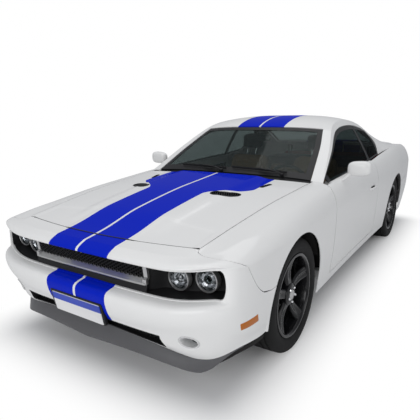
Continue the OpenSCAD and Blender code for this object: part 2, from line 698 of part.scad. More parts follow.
// Wheel with its brake disc; it faces +Z before it is turned outwards
module wheel(x, y) {
    bead = rim_d / 2;
    half = rim_w / 2;
    well = bead - 2 * rim_t;
    face = half - hub_face;
    color([0.08, 0.08, 0.09])
        translate([x, y, axle_z]) rotate([y > 0 ? -90 : 90, 0, 0]) difference() {
            union() {
                rotate_extrude($fn = 64) polygon([
                    [bead + rim_t, -half], [bead + rim_t, -half + rim_t / 2], [bead, -half + rim_t],
                    [bead, half - rim_t], [bead + rim_t, half - rim_t / 2], [bead + rim_t, half],
                    [bead - rim_t, half], [well, half - 2 * rim_t], [well, -half + rim_t], [bead - rim_t, -half]
                ]);
                translate([0, 0, face - spoke_t + spoke_dish / 2]) linear_extrude(spoke_t)
                    for (k = [0 : spokes - 1])
                        rotate([0, 0, 90 + k * 360 / spokes]) polygon([
                            [0, -hub_d / 3], [well + rim_t / 2, -spoke_w / 2],
                            [well + rim_t / 2, spoke_w / 2], [0, hub_d / 3]
                        ]);
                translate([0, 0, -disc_inset - disc_t]) cylinder(h = disc_t, d = disc_d);
                translate([0, 0, -disc_inset - over]) cylinder(h = face + disc_inset + spoke_dish, d = hub_d);
            }
            translate([0, 0, -half]) cylinder(h = half + face - spoke_t, d = spindle_d + 2 * run_gap);
        }
}
spindle_end = wheel_y + rim_w / 2 - hub_face - spoke_t - wheel_gap;

// Knuckle: steering pin, stub axle and brake caliper of a front wheel
module knuckle() {
    disc_y = wheel_y - disc_inset - disc_t;
    caliper_x = front_x - disc_d / 2 - caliper_gap;
    color([0.45, 0.46, 0.48]) {
        rod_z(front_x, kingpin_y, axle_z - kingpin_half, axle_z + kingpin_half, kingpin_d);
        rod_y(front_x, axle_z, kingpin_y, spindle_end, spindle_d);
        block([front_x - kingpin_d, kingpin_y - kingpin_d / 2, axle_z - arm_gap / 2],
              [front_x + kingpin_d, disc_y - caliper_gap, axle_z + arm_gap / 2]);
        block([caliper_x - caliper_t, kingpin_y - kingpin_d / 2, axle_z - caliper_l / 2],
              [front_x - kingpin_d + over, disc_y - caliper_gap, axle_z + caliper_l / 2]);
        block([caliper_x - caliper_t, kingpin_y - kingpin_d / 2, axle_z - caliper_l / 2],
              [caliper_x, disc_y + disc_t + caliper_gap + caliper_t, axle_z + caliper_l / 2]);
        block([caliper_x - caliper_t, disc_y + disc_t + caliper_gap, axle_z - caliper_l / 2],
              [caliper_x + 2 * caliper_t, disc_y + disc_t + caliper_gap + caliper_t, axle_z + caliper_l / 2]);
    }
}

// Body frame: floor, tunnel, firewall, hinge posts, rails, bulkhead, boot floor and jacking pads
floor_z = 200;
floor_t = 24;
floor_half_share = 0.80;
floor_half = floor_half_share * half_w;
tunnel_w = 190;
tunnel_h = 150;
wall_t = 20;
firewall_set = 110;
firewall_drop = 90;
firewall_x = door_x + firewall_set;
firewall_top = crown_z(firewall_x) - firewall_drop;
bulkhead_set = 230;
bulkhead_x = rear_x + bulkhead_set;
shelf_z_share = 0.64;
shelf_z = shelf_z_share * car_h;
rail_y_share = 0.42;
rail_y = rail_y_share * half_w;
rail_w = 70;
rail_h = 110;
rail_z = 470;
post_l = 40;
post_gap = 66;
boot_z = 560;
boot_half_share = 0.62;
boot_half = boot_half_share * half_w;
nose_rail_set = 330;
tail_rail_set = 190;
nose_rail_end = car_l / 2 - nose_rail_set;
tail_rail_end = -car_l / 2 + tail_rail_set;
support_top = 700;
hinge_zs = [450, 740];
hinge_h = 60;
arm_w = 20;
eye_d = pin_d + 10;
jack_pad = 60;
jack_h = 12;
jack_reach_share = 0.27;
post_foot = side_point(door_x, door_bottom_share).z;
post_top = hinge_zs[1] + hinge_h;

// Fixed half of the door hinges on the left side: pins between two lugs
module door_pins() {
    for (z = hinge_zs) {
        rod_z(hinge_x, hinge_y, z - hinge_h / 2, z + hinge_h / 2, pin_d);
        for (low = [z - hinge_h / 2, z + hinge_h / 2 - arm_w]) {
            rod_z(hinge_x, hinge_y, low, low + arm_w, eye_d);
            block([hinge_x - pin_d / 2, hinge_y - post_gap - over, low], [hinge_x + pin_d / 2, hinge_y, low + arm_w]);
        }
    }
}
// Door half of the hinges: an eye between the lugs, on an arm from the door's box
module door_eyes() {
    for (z = hinge_zs) {
        low = z - hinge_h / 2 + arm_w + seat_gap;
        high = z + hinge_h / 2 - arm_w - seat_gap;
        rod_z(hinge_x, hinge_y, low, high, eye_d);
        block([hinge_x - hinge_free - 2 * over, hinge_y - pin_d / 2, low], [hinge_x, hinge_y + pin_d / 2, high]);
    }
}
module door_bores() {
    for (z = hinge_zs)
        rod_z(hinge_x, hinge_y, z - hinge_h, z + hinge_h, pin_d + 2 * run_gap);
}

// Hinges of the hood and the decklid: pins on the frame, eyes under the lids
lid_pin_y_share = [0.64, 0.56];
lid_pin_y = [for (e = [0, 1]) lid_pin_y_share[e] * half_w];
lid_pin_set = [8, 120];
lid_pin_drop = [46, 44];
lid_pin_w = 60;
function lid_pin_at(e) =
    let (
        t = lid_pin_y[e] / lid_half(e, lid_root[e]),
        edge = lid_point(e, 1, t),
        x = edge.x + end_sign[e] * lid_pin_set[e]
    )
    [x, lid_pin_y[e], lid_form(e, x, lid_pin_y[e]) - lid_pin_drop[e]];
lid_pin = [for (e = [0, 1]) lid_pin_at(e)];
lug_w = (lid_pin_w - arm_w) / 2 - seat_gap;
module lid_pins(e, foot) {
    rod_y(lid_pin[e].x, lid_pin[e].z, lid_pin[e].y - lid_pin_w / 2, lid_pin[e].y + lid_pin_w / 2, pin_d);
    for (y = [lid_pin[e].y - lid_pin_w / 2, lid_pin[e].y + lid_pin_w / 2 - lug_w]) {
        rod_y(lid_pin[e].x, lid_pin[e].z, y, y + lug_w, eye_d);
        block([lid_pin[e].x - eye_d / 2 + over, y, foot], [lid_pin[e].x + eye_d / 2 - over, y + lug_w, lid_pin[e].z]);
    }
}
module lid_eyes(e, thickness) {
    low = lid_pin[e].y - arm_w / 2;
    rod_y(lid_pin[e].x, lid_pin[e].z, low, low + arm_w, eye_d);
    block([lid_pin[e].x - eye_d / 2, low, lid_pin[e].z],
          [lid_pin[e].x + eye_d / 2, low + arm_w, lid_pin[e].z + lid_pin_drop[e] - thickness / 2]);
}
module lid_bores(e) {
    rod_y(lid_pin[e].x, lid_pin[e].z, lid_pin[e].y - lid_pin_w, lid_pin[e].y + lid_pin_w, pin_d + 2 * run_gap);
}

module body_frame() {
    post_y = hinge_y - post_gap;
    hood_foot = firewall_top - over;
    color([0.2, 0.2, 0.21]) {
        block([wing_leg_x(1), -floor_half, floor_z], [firewall_x, floor_half, floor_z + floor_t]);
        block([bulkhead_x, -boot_half, floor_z], [firewall_x, boot_half, floor_z + floor_t]);
        block([bulkhead_x, -tunnel_w / 2, floor_z], [firewall_x, tunnel_w / 2, floor_z + tunnel_h]);
        block([firewall_x - wall_t, -floor_half, floor_z], [firewall_x, floor_half, firewall_top]);
        both_sides() {
            block([hinge_x - pin_d, floor_half - wall_t, post_foot], [hinge_x - pin_d + post_l, post_y, post_top]);
            block([hinge_x - pin_d, floor_half - wall_t, floor_z], [firewall_x, floor_half, post_top]);
            door_pins();
            lid_pins(0, hood_foot);
            lid_pins(1, boot_z);
            block([firewall_x - over, rail_y - rail_w, rail_z], [nose_rail_end, rail_y, rail_z + rail_h]);
            block([firewall_x - over, rail_y - rail_w, floor_z], [firewall_x + rail_w, rail_y, rail_z + rail_h]);
            block([tail_rail_end, boot_half - rail_w, boot_z - rail_h], [bulkhead_x, boot_half, boot_z + wall_t]);
            for (x = [door_x, rear_x + jack_reach_share * wheelbase])
                block([x - jack_pad, floor_half - jack_pad - wall_t, floor_z - jack_h],
                      [x, floor_half - wall_t, floor_z + over]);
        }
        block([lid_pin[0].x - eye_d / 2, -floor_half, firewall_top - wall_t], [firewall_x, floor_half, firewall_top]);
        block([bulkhead_x - wall_t, -boot_half, floor_z], [bulkhead_x + over, boot_half, shelf_z]);
        block([tail_rail_end, -boot_half, boot_z], [bulkhead_x, boot_half, boot_z + wall_t]);
        block([nose_rail_end - wall_t, -rail_y - wall_t, floor_z + rail_h],
              [nose_rail_end, rail_y + wall_t, support_top]);
    }
}

// Engine, between the front rails
engine_l = 640;
engine_w = 480;
engine_h = 450;
cross_z = 230;
cross_h = 70;
cross_l = 130;
module engine_block() {
    x0 = front_x - engine_l / 2;
    z0 = cross_z + cross_h + seat_gap;
    color([0.35, 0.36, 0.38]) {
        block([x0, -engine_w / 4, z0], [x0 + engine_l, engine_w / 4, z0 + engine_h / 2]);
        block([x0, -engine_w / 2, z0 + engine_h / 3], [x0 + engine_l, engine_w / 2, z0 + engine_h]);
    }
}

// Front suspension: crossmember, two pairs of arms with eyes for the steering pins, and struts
strut_d = 80;
strut_y_share = 0.70;
strut_top = 690;
module arm_eye(z, bar_to) {
    rod_z(front_x, kingpin_y, z, z + arm_t, kingpin_d + 2 * eye_wall);
    block([front_x - kingpin_d / 2, bar_to, z], [front_x + kingpin_d / 2, kingpin_y, z + arm_t]);
}
module front_suspension() {
    lower = axle_z - arm_gap - arm_t;
    upper = axle_z + arm_gap;
    strut_y = strut_y_share * wheel_y;
    color([0.3, 0.31, 0.33]) {
        block([front_x - cross_l / 2, -rail_y, cross_z], [front_x + cross_l / 2, rail_y, cross_z + cross_h]);
        both_sides() {
            block([front_x - cross_l / 2, rail_y - rail_w, cross_z],
                  [front_x + cross_l / 2, rail_y, rail_z - seat_gap]);
            difference() {
                union() {
                    arm_eye(lower, rail_y - rail_w);
                    arm_eye(upper, rail_y + seat_gap);
                    rod_z(front_x, strut_y, lower, strut_top, strut_d);
                }
                rod_z(front_x, kingpin_y, lower - over, upper + arm_t + over, kingpin_d + 2 * run_gap);
            }
        }
    }
}

// Rear suspension: subframe, final drive, half shafts, hub carriers with stub axles, arms and springs
drive_d = 190;
drive_w = 230;
shaft_d = 46;
carrier_w = 70;
carrier_h = 190;
spring_d = 110;
spring_y_share = 0.62;
module rear_suspension() {
    disc_y = wheel_y - disc_inset - disc_t;
    carrier_y = disc_y - caliper_gap;
    frame_top = boot_z - rail_h - seat_gap;
    spring_y = spring_y_share * wheel_y;
    color([0.3, 0.31, 0.33]) {
        rod_y(rear_x, axle_z, -drive_w / 2, drive_w / 2, drive_d);
        block([rear_x - drive_d, -spring_y, frame_top - arm_t], [rear_x + drive_d, spring_y, frame_top]);
        both_sides() {
            block([rear_x - drive_d, boot_half - rail_w, frame_top - arm_t], [rear_x + drive_d, boot_half, frame_top]);
            rod_y(rear_x, axle_z, 0, carrier_y, shaft_d);
            block([rear_x - carrier_w / 2, carrier_y - carrier_w, axle_z - carrier_h / 2],
                  [rear_x + carrier_w / 2, carrier_y, axle_z + carrier_h / 2]);
            rod_y(rear_x, axle_z, carrier_y - carrier_w, spindle_end, spindle_d);
            block([rear_x - carrier_w / 2, drive_w / 4, axle_z - carrier_h / 2],
                  [rear_x + carrier_w / 2, carrier_y, axle_z - carrier_h / 2 + arm_t]);
            rod_z(rear_x, spring_y, axle_z - carrier_h / 2, frame_top, spring_d);
        }
    }
}

// Exhaust: two pipes under the floor, silencers and tail pipes
pipe_d = 50;
pipe_y = 170;
silencer_l = 420;
silencer_w = 240;
silencer_h = 150;
silencer_z = 205;
tail_pipe_drop = 12;
pipe_start_share = 0.16;
silencer_end_share = 0.44;
pipe_end_share = 0.485;
module exhaust() {
    z = floor_z - pipe_d / 2 - seat_gap;
    x0 = pipe_start_share * car_l;
    x1 = -silencer_end_share * car_l;
    color([0.55, 0.55, 0.56]) both_sides() {
        translate([x1 + silencer_l / 2, pipe_y, z]) rotate([0, 90, 0])
            cylinder(h = x0 - x1 - silencer_l / 2, d = pipe_d);
        rod_z(x1 + silencer_l / 2, pipe_y, z - pipe_d / 2, silencer_z + over, pipe_d);
        block([x1, pipe_y - pipe_d, silencer_z],
              [x1 + silencer_l, pipe_y - pipe_d + silencer_w, silencer_z + silencer_h]);
        translate([-pipe_end_share * car_l, pipe_y + pipe_d, silencer_z + pipe_d / 2 + tail_pipe_drop])
            rotate([0, 90, 0]) cylinder(h = x1 + pipe_end_share * car_l + over, d = pipe_d);
    }
}

// Painted panels
pearl = [0.93, 0.93, 0.92];
trim_black = [0.07, 0.07, 0.075];
module front_bumper() {
    color(pearl) difference() {
        fascia(0);
        fog_bores();
    }
}
module rear_bumper() color(pearl) fascia(1);
module front_fenders() color(pearl) both_sides() wing(0);
module rear_quarters() color(pearl) both_sides() wing(1);
module door_left() {
    color(pearl) difference() {
        union() {
            door_panel();
            door_eyes();
        }
        door_bores();
    }
}
module door_right() mirror([0, 1, 0]) door_left();
module hinged_lid(e, thickness) {
    color(pearl) difference() {
        union() {
            lid(e, thickness);
            both_sides() lid_eyes(e, thickness);
        }
        both_sides() lid_bores(e);
        if (e == 0) hood_vents();
    }
}
module hood() hinged_lid(0, hood_t);
module decklid() hinged_lid(1, deck_t);
module roof_and_pillars() {
    outer = house_grid([for (i = [0 : len(house_step_shares) - 1]) i], house_rows);
    keep = [
        for (i = [0 : len(house_step_shares) - 2])
            [for (j = [0 : len(house_rows) - 2]) house_kept(i, house_rows[j], house_rows[j + 1])]
    ];
    color(pearl) skin(outer, sunk(outer, roof_t), keep);
}
// Rocker below a door, as deep as the edge of the floor
sill_rows = 3;
sill_steps = 6;
module sill() {
    x0 = door_x + wing_edge_gap - seam;
    x1 = door_end - shut_gap + seam;
    top = door_bottom_share - shut_gap / (crease_z(door_x) - sill_z(door_x));
    outer = [
        for (i = [0 : sill_steps])
            [for (j = [0 : sill_rows]) side_point(mix(x0, x1, i / sill_steps), mix(0, top, j / sill_rows))]
    ];
    inner = [for (column = outer) [for (p = column) [p.x, floor_half + seat_gap, p.z]]];
    skin(outer, inner, whole(outer));
}
module sills() color(pearl) both_sides() sill();

// Panel that closes the slot across the nose or tail, just behind the walls round the slot
slot_panel_t = 10;
slot_trim = 9;
module slot_panel(e) {
    half = [
        for (k = [0 : slot_column - 1])
            [for (j = [slot_rows[0] + 1 : slot_rows[1] - 1])
                slot_seat(e, k, j) - [0, k == slot_column - 1 ? slot_trim : 0, 0]]
    ];
    outer = across_car(e, half);
    skin(outer, sunk(outer, slot_panel_t), whole(outer));
}
module grille_panel() color(trim_black) slot_panel(0);
module tail_lamps() color([0.45, 0.02, 0.03]) slot_panel(1);

// Grille: a frame with a lattice of thin bars, in front of the dark panel
grille_share = 0.47;
grille_cells = 14;
grille_cell_rows = 3;
grille_bar_share = 0.2;
grille_level_shares = [0.68, 0.92];
grille_depth = 22;
grille_gap = 0.8;
function bar_places(from, to, cells) = [
    for (k = [0 : cells]) each [
        mix(from, to, (k - grille_bar_share / 2) / cells),
        mix(from, to, (k + grille_bar_share / 2) / cells)
    ]
];
module grille_insert() {
    widths = bar_places(-grille_share, grille_share, grille_cells);
    levels = bar_places(grille_level_shares[0], grille_level_shares[1], grille_cell_rows);
    outer = [
        for (share = widths)
            [for (q = levels)
                let (
                    angle = angle_of(0, abs(share)),
                    p = end_point(0, angle, q) - (grille_set - grille_depth) * slot_way(0, angle)
                )
                [p.x, share < 0 ? -p.y : p.y, p.z]]
    ];
    inner = [
        for (column = outer)
            [for (p = column) p - [grille_depth + slot_gap[0] - grille_gap, 0, 0]]
    ];
    keep = [for (i = [0 : len(widths) - 2]) [for (j = [0 : len(levels) - 2]) i % 2 == 0 || j % 2 == 0]];
    color(trim_black) skin(outer, inner, keep);
}

// Lamps: two round headlamps on each side and a fog lamp in each lower corner
lamp_l = 34;
lamp_width_shares = [0.622, 0.787];
lamp_level_share = 0.7985;
lens_inset = 10;
fog_d = 74;
fog_share = 0.80;
fog_level_share = 0.25;
fog_l = 60;
fog_inset = 14;
// Foremost place of the dark panel behind a round lamp, on the side next to the middle
lamp_gap = [0.5, 1.4];
lamp_steps = 4;
function lamp_seat(y, z) = max([
    for (j = [slot_rows[0] + 1 : slot_rows[1] - 2], part = [0 : lamp_steps])
        let (
            low = [for (k = [0 : slot_column - 1]) slot_seat(0, k, j)],
            high = [for (k = [0 : slot_column - 1]) slot_seat(0, k, j + 1)],
            row = [for (k = [0 : slot_column - 1]) mix(low[k], high[k], part / lamp_steps)],
            rise = lookup(y, [for (p = row) [p.y, p.z]]) - z,
            reach = sqrt(max(0, lamp_d * lamp_d / 4 - rise * rise))
        )
        lookup(y - reach, [for (p = row) [p.y, p.x]])
]);
function lamp_at(k) =
    let (p = end_point(0, angle_of(0, lamp_width_shares[k]), lamp_level_share))
    [lamp_seat(p.y, p.z) + lamp_gap[k], p.y, p.z];
// Fog lamps stand in bores through the nose
fog_at = end_point(0, angle_of(0, fog_share), fog_level_share) - [fog_l + fog_inset, 0, 0];
module fog_bores() {
    both_sides() translate(fog_at - [fog_l, 0, 0]) rotate([0, 90, 0])
        cylinder(h = 4 * fog_l, d = fog_d + 2 * seat_gap);
}
module round_lamp(at, d, length) {
    translate(at) rotate([0, 90, 0]) difference() {
        cylinder(h = length, d = d);
        translate([0, 0, length - lens_inset]) cylinder(h = lens_inset + over, d = d - 2 * lens_inset);
    }
}
module front_lamps() {
    color([0.85, 0.87, 0.9]) both_sides() {
        for (k = [0, 1])
            round_lamp(lamp_at(k), lamp_d, lamp_l);
        round_lamp(fog_at, fog_d, fog_l);
    }
}

// Amber lamps let into the nose ahead of the front wheels
marker_shares = [0.985, 0.997];
marker_level_shares = [0.34, 0.42];
marker_h = 5;
module side_markers() {
    base = [
        for (i = [0 : 3])
            [for (j = [0 : 2])
                end_point(0, angle_of(0, mix(marker_shares[0], marker_shares[1], i / 3)),
                          mix(marker_level_shares[0], marker_level_shares[1], j / 2))]
    ];
    color([0.95, 0.55, 0.1]) both_sides()
        skin(sunk(base, -marker_h), sunk(base, -seat_gap), whole(base));
}

module number_plate()
    color([0.95, 0.95, 0.95])
        translate([end_tip(0, plate_level_share), 0, nose_z(plate_level_share)]) rotate([0, plate_angle, 0])
            block([plate_gap, -plate_w / 2, -plate_h], [plate_gap + plate_t, plate_w / 2, 0]);

// Chin spoiler under the nose
chin_share = 0.992;
chin_t = 12;
chin_h = 78;
chin_lip = 16;
chin_inset = 1;
chin_fold_share = 0.7;
module chin_spoiler() {
    half = concat([for (share = fascia_width_shares) if (share < chin_share) share], [chin_share]);
    all = concat([for (share = reversed(half)) -share], [for (k = [1 : len(half) - 1]) half[k]]);
    outer = [
        for (share = all)
            let (
                angle = angle_of(0, abs(share)),
                p = end_point(0, angle, 0),
                way = [cos(angle), sin(angle) * (share < 0 ? -1 : 1), 0],
                top = [p.x, share < 0 ? -p.y : p.y, p.z - seat_gap] - chin_inset * way
            )
            [top + chin_lip * way - [0, 0, chin_h], top + chin_fold_share * (chin_lip * way - [0, 0, chin_h]), top]
    ];
    color([0.5, 0.5, 0.52]) skin(outer, sunk(outer, chin_t), whole(outer));
}

// Glass: panes on the facets of the glass house, in columns counted along house_step_shares
glass_gap = 1.1;
glass_top_gap = 2.4;
belt_gap = 0.6;
function house_column(c, v) =
    let (i = min(floor(c), len(house_step_shares) - 2))
    mix(house_point(house_step(i, v), v), house_point(house_step(i + 1, v), v), c - i);
function column_margin(c, width) = width / norm(house_column(floor(c) + 1, 0) - house_column(floor(c), 0));
function across_margin(c, width) = width / abs(house_column(c, 1).y);
function down_margin(c, width) = width / norm(house_column(c, 2) - house_column(c, 1));
// Columns of a pane: its two ends and the house's columns between them
function pane_columns(first, last) = concat([first], [for (c = [floor(first) + 1 : ceil(last) - 1]) c], [last]);
// Column at which the rail reaches a station
function column_at(x, low = 0, high = len(house_step_shares) - 1, turns = 24) =
    let (middle = (low + high) / 2)
    turns == 0 ? middle :
    house_column(middle, 1).x > x ? column_at(x, middle, high, turns - 1) : column_at(x, low, middle, turns - 1);
pillar_rows = [for (v = house_rows) if (abs(v) <= pillar_inner_share) v];
function top_pane(first, last, gap) = [
    for (c = pane_columns(first, last))
        [for (v = pillar_rows)
            let (edge = pillar_inner_share - across_margin(c, gap))
            house_column(c, max(-edge, min(edge, v)))]
];
belt_rows = [for (v = house_row_shares) if (v >= window_top_share) v];
function side_pane(first, last, gap) = [
    for (c = pane_columns(first, last))
        [for (v = belt_rows) house_column(c, max(v, window_top_share + down_margin(c, gap)))]
];
module pane(grid) {
    skin(sunk(grid, glass_step), sunk(grid, glass_step + glass_t), whole(grid));
}
// Side glass stands on the belt
function on_belt(grid) = [for (column = grid) [for (p = column) [p.x, p.y, max(p.z, shoulder_z(p.x) + belt_gap)]]];
module standing_pane(grid) {
    skin(on_belt(sunk(grid, glass_step)), on_belt(sunk(grid, glass_step + glass_t)), whole(grid));
}
windshield_low_share = 0.05;
module windshield()
    color([0.3, 0.36, 0.38])
        pane(top_pane(windshield_low_share, windshield_column - column_margin(windshield_column - 1, glass_top_gap),
                      glass_gap));
module rear_window()
    color([0.2, 0.24, 0.26])
        pane(top_pane(window_end_column + column_margin(window_end_column, glass_gap),
                      rear_window_column - column_margin(rear_window_column - 1, glass_gap), glass_gap));
door_glass_front_share = 0.7;
module door_glass_left()
    color([0.12, 0.14, 0.15]) standing_pane(side_pane(door_glass_front_share, column_at(door_end + over), shut_gap));
module door_glass_right() mirror([0, 1, 0]) door_glass_left();
module quarter_glass()
    color([0.12, 0.14, 0.15]) both_sides()
        standing_pane(side_pane(column_at(door_end - shut_gap),
                                window_end_column - column_margin(window_end_column - 1, glass_gap), glass_gap));

// Cowl between the hood and the windshield
cowl_t = 8;
cowl_column_share = 0.32;
cowl_dip_share = 0.25;
module cowl_panel() {
    glass = top_pane(0, cowl_column_share, glass_gap);
    under = sunk(glass, glass_step + glass_t + seat_gap);
    last = under[len(under) - 1];
    outer = [
        for (i = [0 : 2])
            [for (j = [0 : len(pillar_rows) - 1])
                let (
                    rear = last[j],
                    front = [lid_pin[0].x - eye_d / 2 - over, rear.y, firewall_top + seat_gap + cowl_t],
                    way = i / 2
                )
                [mix(front.x, rear.x, way), rear.y, mix(front.z, rear.z, i == 1 ? cowl_dip_share : way)]]
    ];
    color(trim_black) skin(outer, sunk(outer, cowl_t), whole(outer));
}

// Cabin
dash_l = 400;
dash_half_share = 0.76;
dash_h = 300;
dash_top_gap = 20;
dash_rise = 46;
dash_rise_l = 130;
console_l = 760;
console_w = 186;
console_h = 190;
module dashboard() {
    x1 = firewall_x - wall_t - seat_gap;
    x0 = x1 - dash_l;
    top = firewall_top - dash_top_gap;
    half = dash_half_share * half_w;
    color([0.09, 0.09, 0.1]) {
        translate([0, half, 0]) rotate([90, 0, 0]) linear_extrude(2 * half)
            polygon([[x1, top - dash_h], [x1, top], [x1 - dash_rise_l, top + dash_rise],
                     [x0 + dash_l / 4, top + dash_rise], [x0, top - dash_h / 4],
                     [x0 + dash_l / 8, top - dash_h / 2], [x0 + dash_l / 3, top - dash_h]]);
        translate([0, console_w / 2, 0]) rotate([90, 0, 0]) linear_extrude(console_w)
            polygon([[x0 - console_l, floor_z + tunnel_h + seat_gap], [x1 - dash_l / 2, floor_z + tunnel_h + seat_gap],
                     [x1 - dash_l / 2, top - dash_h + over], [x0 + dash_l / 3, top - dash_h + over],
                     [x0 - console_l / 4, floor_z + tunnel_h + console_h],
                     [x0 - console_l, floor_z + tunnel_h + console_h]]);
    }
}
seat_side_gap = 17;
driver_y = console_w / 2 + seat_side_gap + seat_w / 2;
steer_rim_d = 34;
steer_angle = 66;
column_l = 150;
column_d = 60;
steer_spokes = 3;
module steering_wheel() {
    x1 = firewall_x - wall_t - dash_l;
    z = firewall_top - dash_top_gap - dash_h / 4;
    color([0.08, 0.08, 0.085])
        translate([x1 - seat_gap, driver_y, z]) rotate([0, -steer_angle, 0]) {
            cylinder(h = column_l, d = column_d);
            translate([0, 0, column_l - over]) cylinder(h = steer_rim_d, d = steer_d / 3);
            translate([0, 0, column_l + steer_rim_d / 2]) {
                rotate_extrude() translate([steer_d / 2 - steer_rim_d / 2, 0]) circle(d = steer_rim_d, $fn = 16);
                for (k = [0 : steer_spokes - 1])
                    rotate([0, 0, 90 + k * 90]) translate([0, -steer_rim_d / 2, -steer_rim_d / 4])
                        cube([steer_d / 2 - steer_rim_d / 2, steer_rim_d, steer_rim_d / 2]);
            }
        }
}
seat_front_share = 0.085;
seat_l = 520;
seat_h = 260;
seat_angle = 22;
pad_t = 120;
rest_w_share = 0.5;
rest_h = 190;
rest_shares = [0.9, 0.6, -0.2, 0.1];
head_room = 157;
// Length of the backrest, which leaves head room under the roof
seat_back_l = (car_h - roof_t - head_room - rest_h - seat_h - floor_z - floor_t) / cos(seat_angle);
module front_seat() {
    x0 = seat_front_share * car_l;
    z0 = floor_z + floor_t + seat_gap;
    hip_x = x0 - seat_l;
    top = [hip_x - seat_back_l * sin(seat_angle), z0 + seat_h + seat_back_l * cos(seat_angle)];
    color([0.62, 0.42, 0.26]) translate([0, driver_y, 0]) {
        translate([0, seat_w / 2, 0]) rotate([90, 0, 0]) linear_extrude(seat_w)
            polygon([[x0 - pad_t, z0], [x0, z0 + seat_h - pad_t], [x0, z0 + seat_h + pad_t / 4],
                     [hip_x + pad_t / 2, z0 + seat_h], [top.x + pad_t, top.y], [top.x, top.y],
                     [hip_x - pad_t, z0 + seat_h / 2], [hip_x, z0]]);
        translate([0, seat_w * rest_w_share / 2, 0]) rotate([90, 0, 0]) linear_extrude(seat_w * rest_w_share)
            polygon([[top.x + pad_t * rest_shares[0], top.y - over], [top.x + pad_t * rest_shares[1], top.y + rest_h],
                     [top.x + pad_t * rest_shares[2], top.y + rest_h],
                     [top.x + pad_t * rest_shares[3], top.y - over]]);
    }
}
module front_seats() both_sides() front_seat();
rear_half_share = 0.60;
rear_seat_l = 480;
rear_seat_h = 250;
shelf_l = 330;
shelf_t = 24;
rear_pad_shares = [1.6, 0.7];
rear_dip_share = 0.9;
module rear_seat() {
    half = rear_half_share * half_w;
    x1 = bulkhead_x + over + seat_gap;
    z0 = floor_z + floor_t + seat_gap;
    color([0.58, 0.39, 0.24]) difference() {
        translate([0, half, 0]) rotate([90, 0, 0]) linear_extrude(2 * half)
            polygon([[x1, z0], [x1 + rear_seat_l + pad_t, z0], [x1 + rear_seat_l + pad_t, z0 + rear_seat_h],
                     [x1 + pad_t * rear_pad_shares[0], z0 + rear_seat_h * rear_dip_share],
                     [x1 + pad_t * rear_pad_shares[1], shelf_z + seat_gap + shelf_t],
                     [x1 - shelf_l, shelf_z + seat_gap + shelf_t], [x1 - shelf_l, shelf_z + seat_gap],
                     [x1, shelf_z + seat_gap]]);
        block([x1 - over, -tunnel_w / 2 - seat_gap, floor_z],
              [x1 + 2 * rear_seat_l, tunnel_w / 2 + seat_gap, floor_z + tunnel_h + seat_gap]);
    }
}

// Liners over the wheels
liner_t = 5;
liner_gap = 30;
liner_angle = 20;
liner_edge_share = 0.95;
module liner(e, inner_y) {
    r = arch_r + liner_gap;
    translate([axle_x[e], inner_y, axle_z]) rotate([90, 0, 180])
        rotate([0, 0, liner_angle]) rotate_extrude(angle = 180 - 2 * liner_angle, $fn = 64)
            translate([r - liner_t, 0]) square([liner_t, liner_edge_share * half_w - inner_y]);
}
module arch_liners()
    color(trim_black) both_sides() {
        liner(0, rail_y + seat_gap);
        liner(1, boot_half + seat_gap);
    }

// Door mirrors
mirror_x_share = 0.112;
mirror_w = 180;
mirror_h = 120;
mirror_out = 122;
mirror_up = 92;
mirror_ball = 60;
mirror_facets = 13;
stalk_d = 40;
module mirror_left() {
    x = mirror_x_share * car_l;
    q = door_level(door_rows - 1);
    foot = side_point(x, q);
    along = side_point(x - over, q) - side_point(x + over, q);
    across = side_point(x, q) - side_point(x, door_level(door_rows - 2));
    reach = stalk_d / 2 * cos(180 / mirror_facets) + seat_gap / 3;
    low = foot + reach * unit(cross(along, across));
    middle = foot + [0, mirror_out, mirror_up];
    color(pearl) {
        hull() {
            for (sy = [-1, 1], sz = [-1, 1])
                translate(middle + [0, sy * (mirror_w - mirror_ball) / 2, sz * (mirror_h - mirror_ball) / 2])
                    sphere(d = mirror_ball, $fn = mirror_facets);
        }
        hull() {
            translate(low) sphere(d = stalk_d, $fn = mirror_facets);
            translate(middle - [0, 0, mirror_h / 3]) sphere(d = stalk_d, $fn = mirror_facets);
        }
    }
}
module mirror_right() mirror([0, 1, 0]) mirror_left();

body_frame();
engine_block();
front_suspension();
rear_suspension();
exhaust();
front_bumper();
chin_spoiler();
grille_panel();
grille_insert();
front_lamps();
side_markers();
number_plate();
front_fenders();
rear_quarters();
sills();
roof_and_pillars();
windshield();
rear_window();
quarter_glass();
rear_bumper();
tail_lamps();
cowl_panel();
dashboard();
steering_wheel();
front_seats();
rear_seat();
arch_liners();
door_left();
door_right();
door_glass_left();
door_glass_right();
mirror_left();
mirror_right();
hood();
decklid();
knuckle();  // knuckle_left
mirror([0, 1, 0]) knuckle();  // knuckle_right
wheel(front_x, wheel_y);  // wheel_front_left
wheel(front_x, -wheel_y);  // wheel_front_right
wheel(rear_x, wheel_y);  // wheel_rear_left
wheel(rear_x, -wheel_y);  // wheel_rear_right
tyre(front_x, wheel_y);  // tyre_front_left
tyre(front_x, -wheel_y);  // tyre_front_right
tyre(rear_x, wheel_y);  // tyre_rear_left
tyre(rear_x, -wheel_y);  // tyre_rear_right
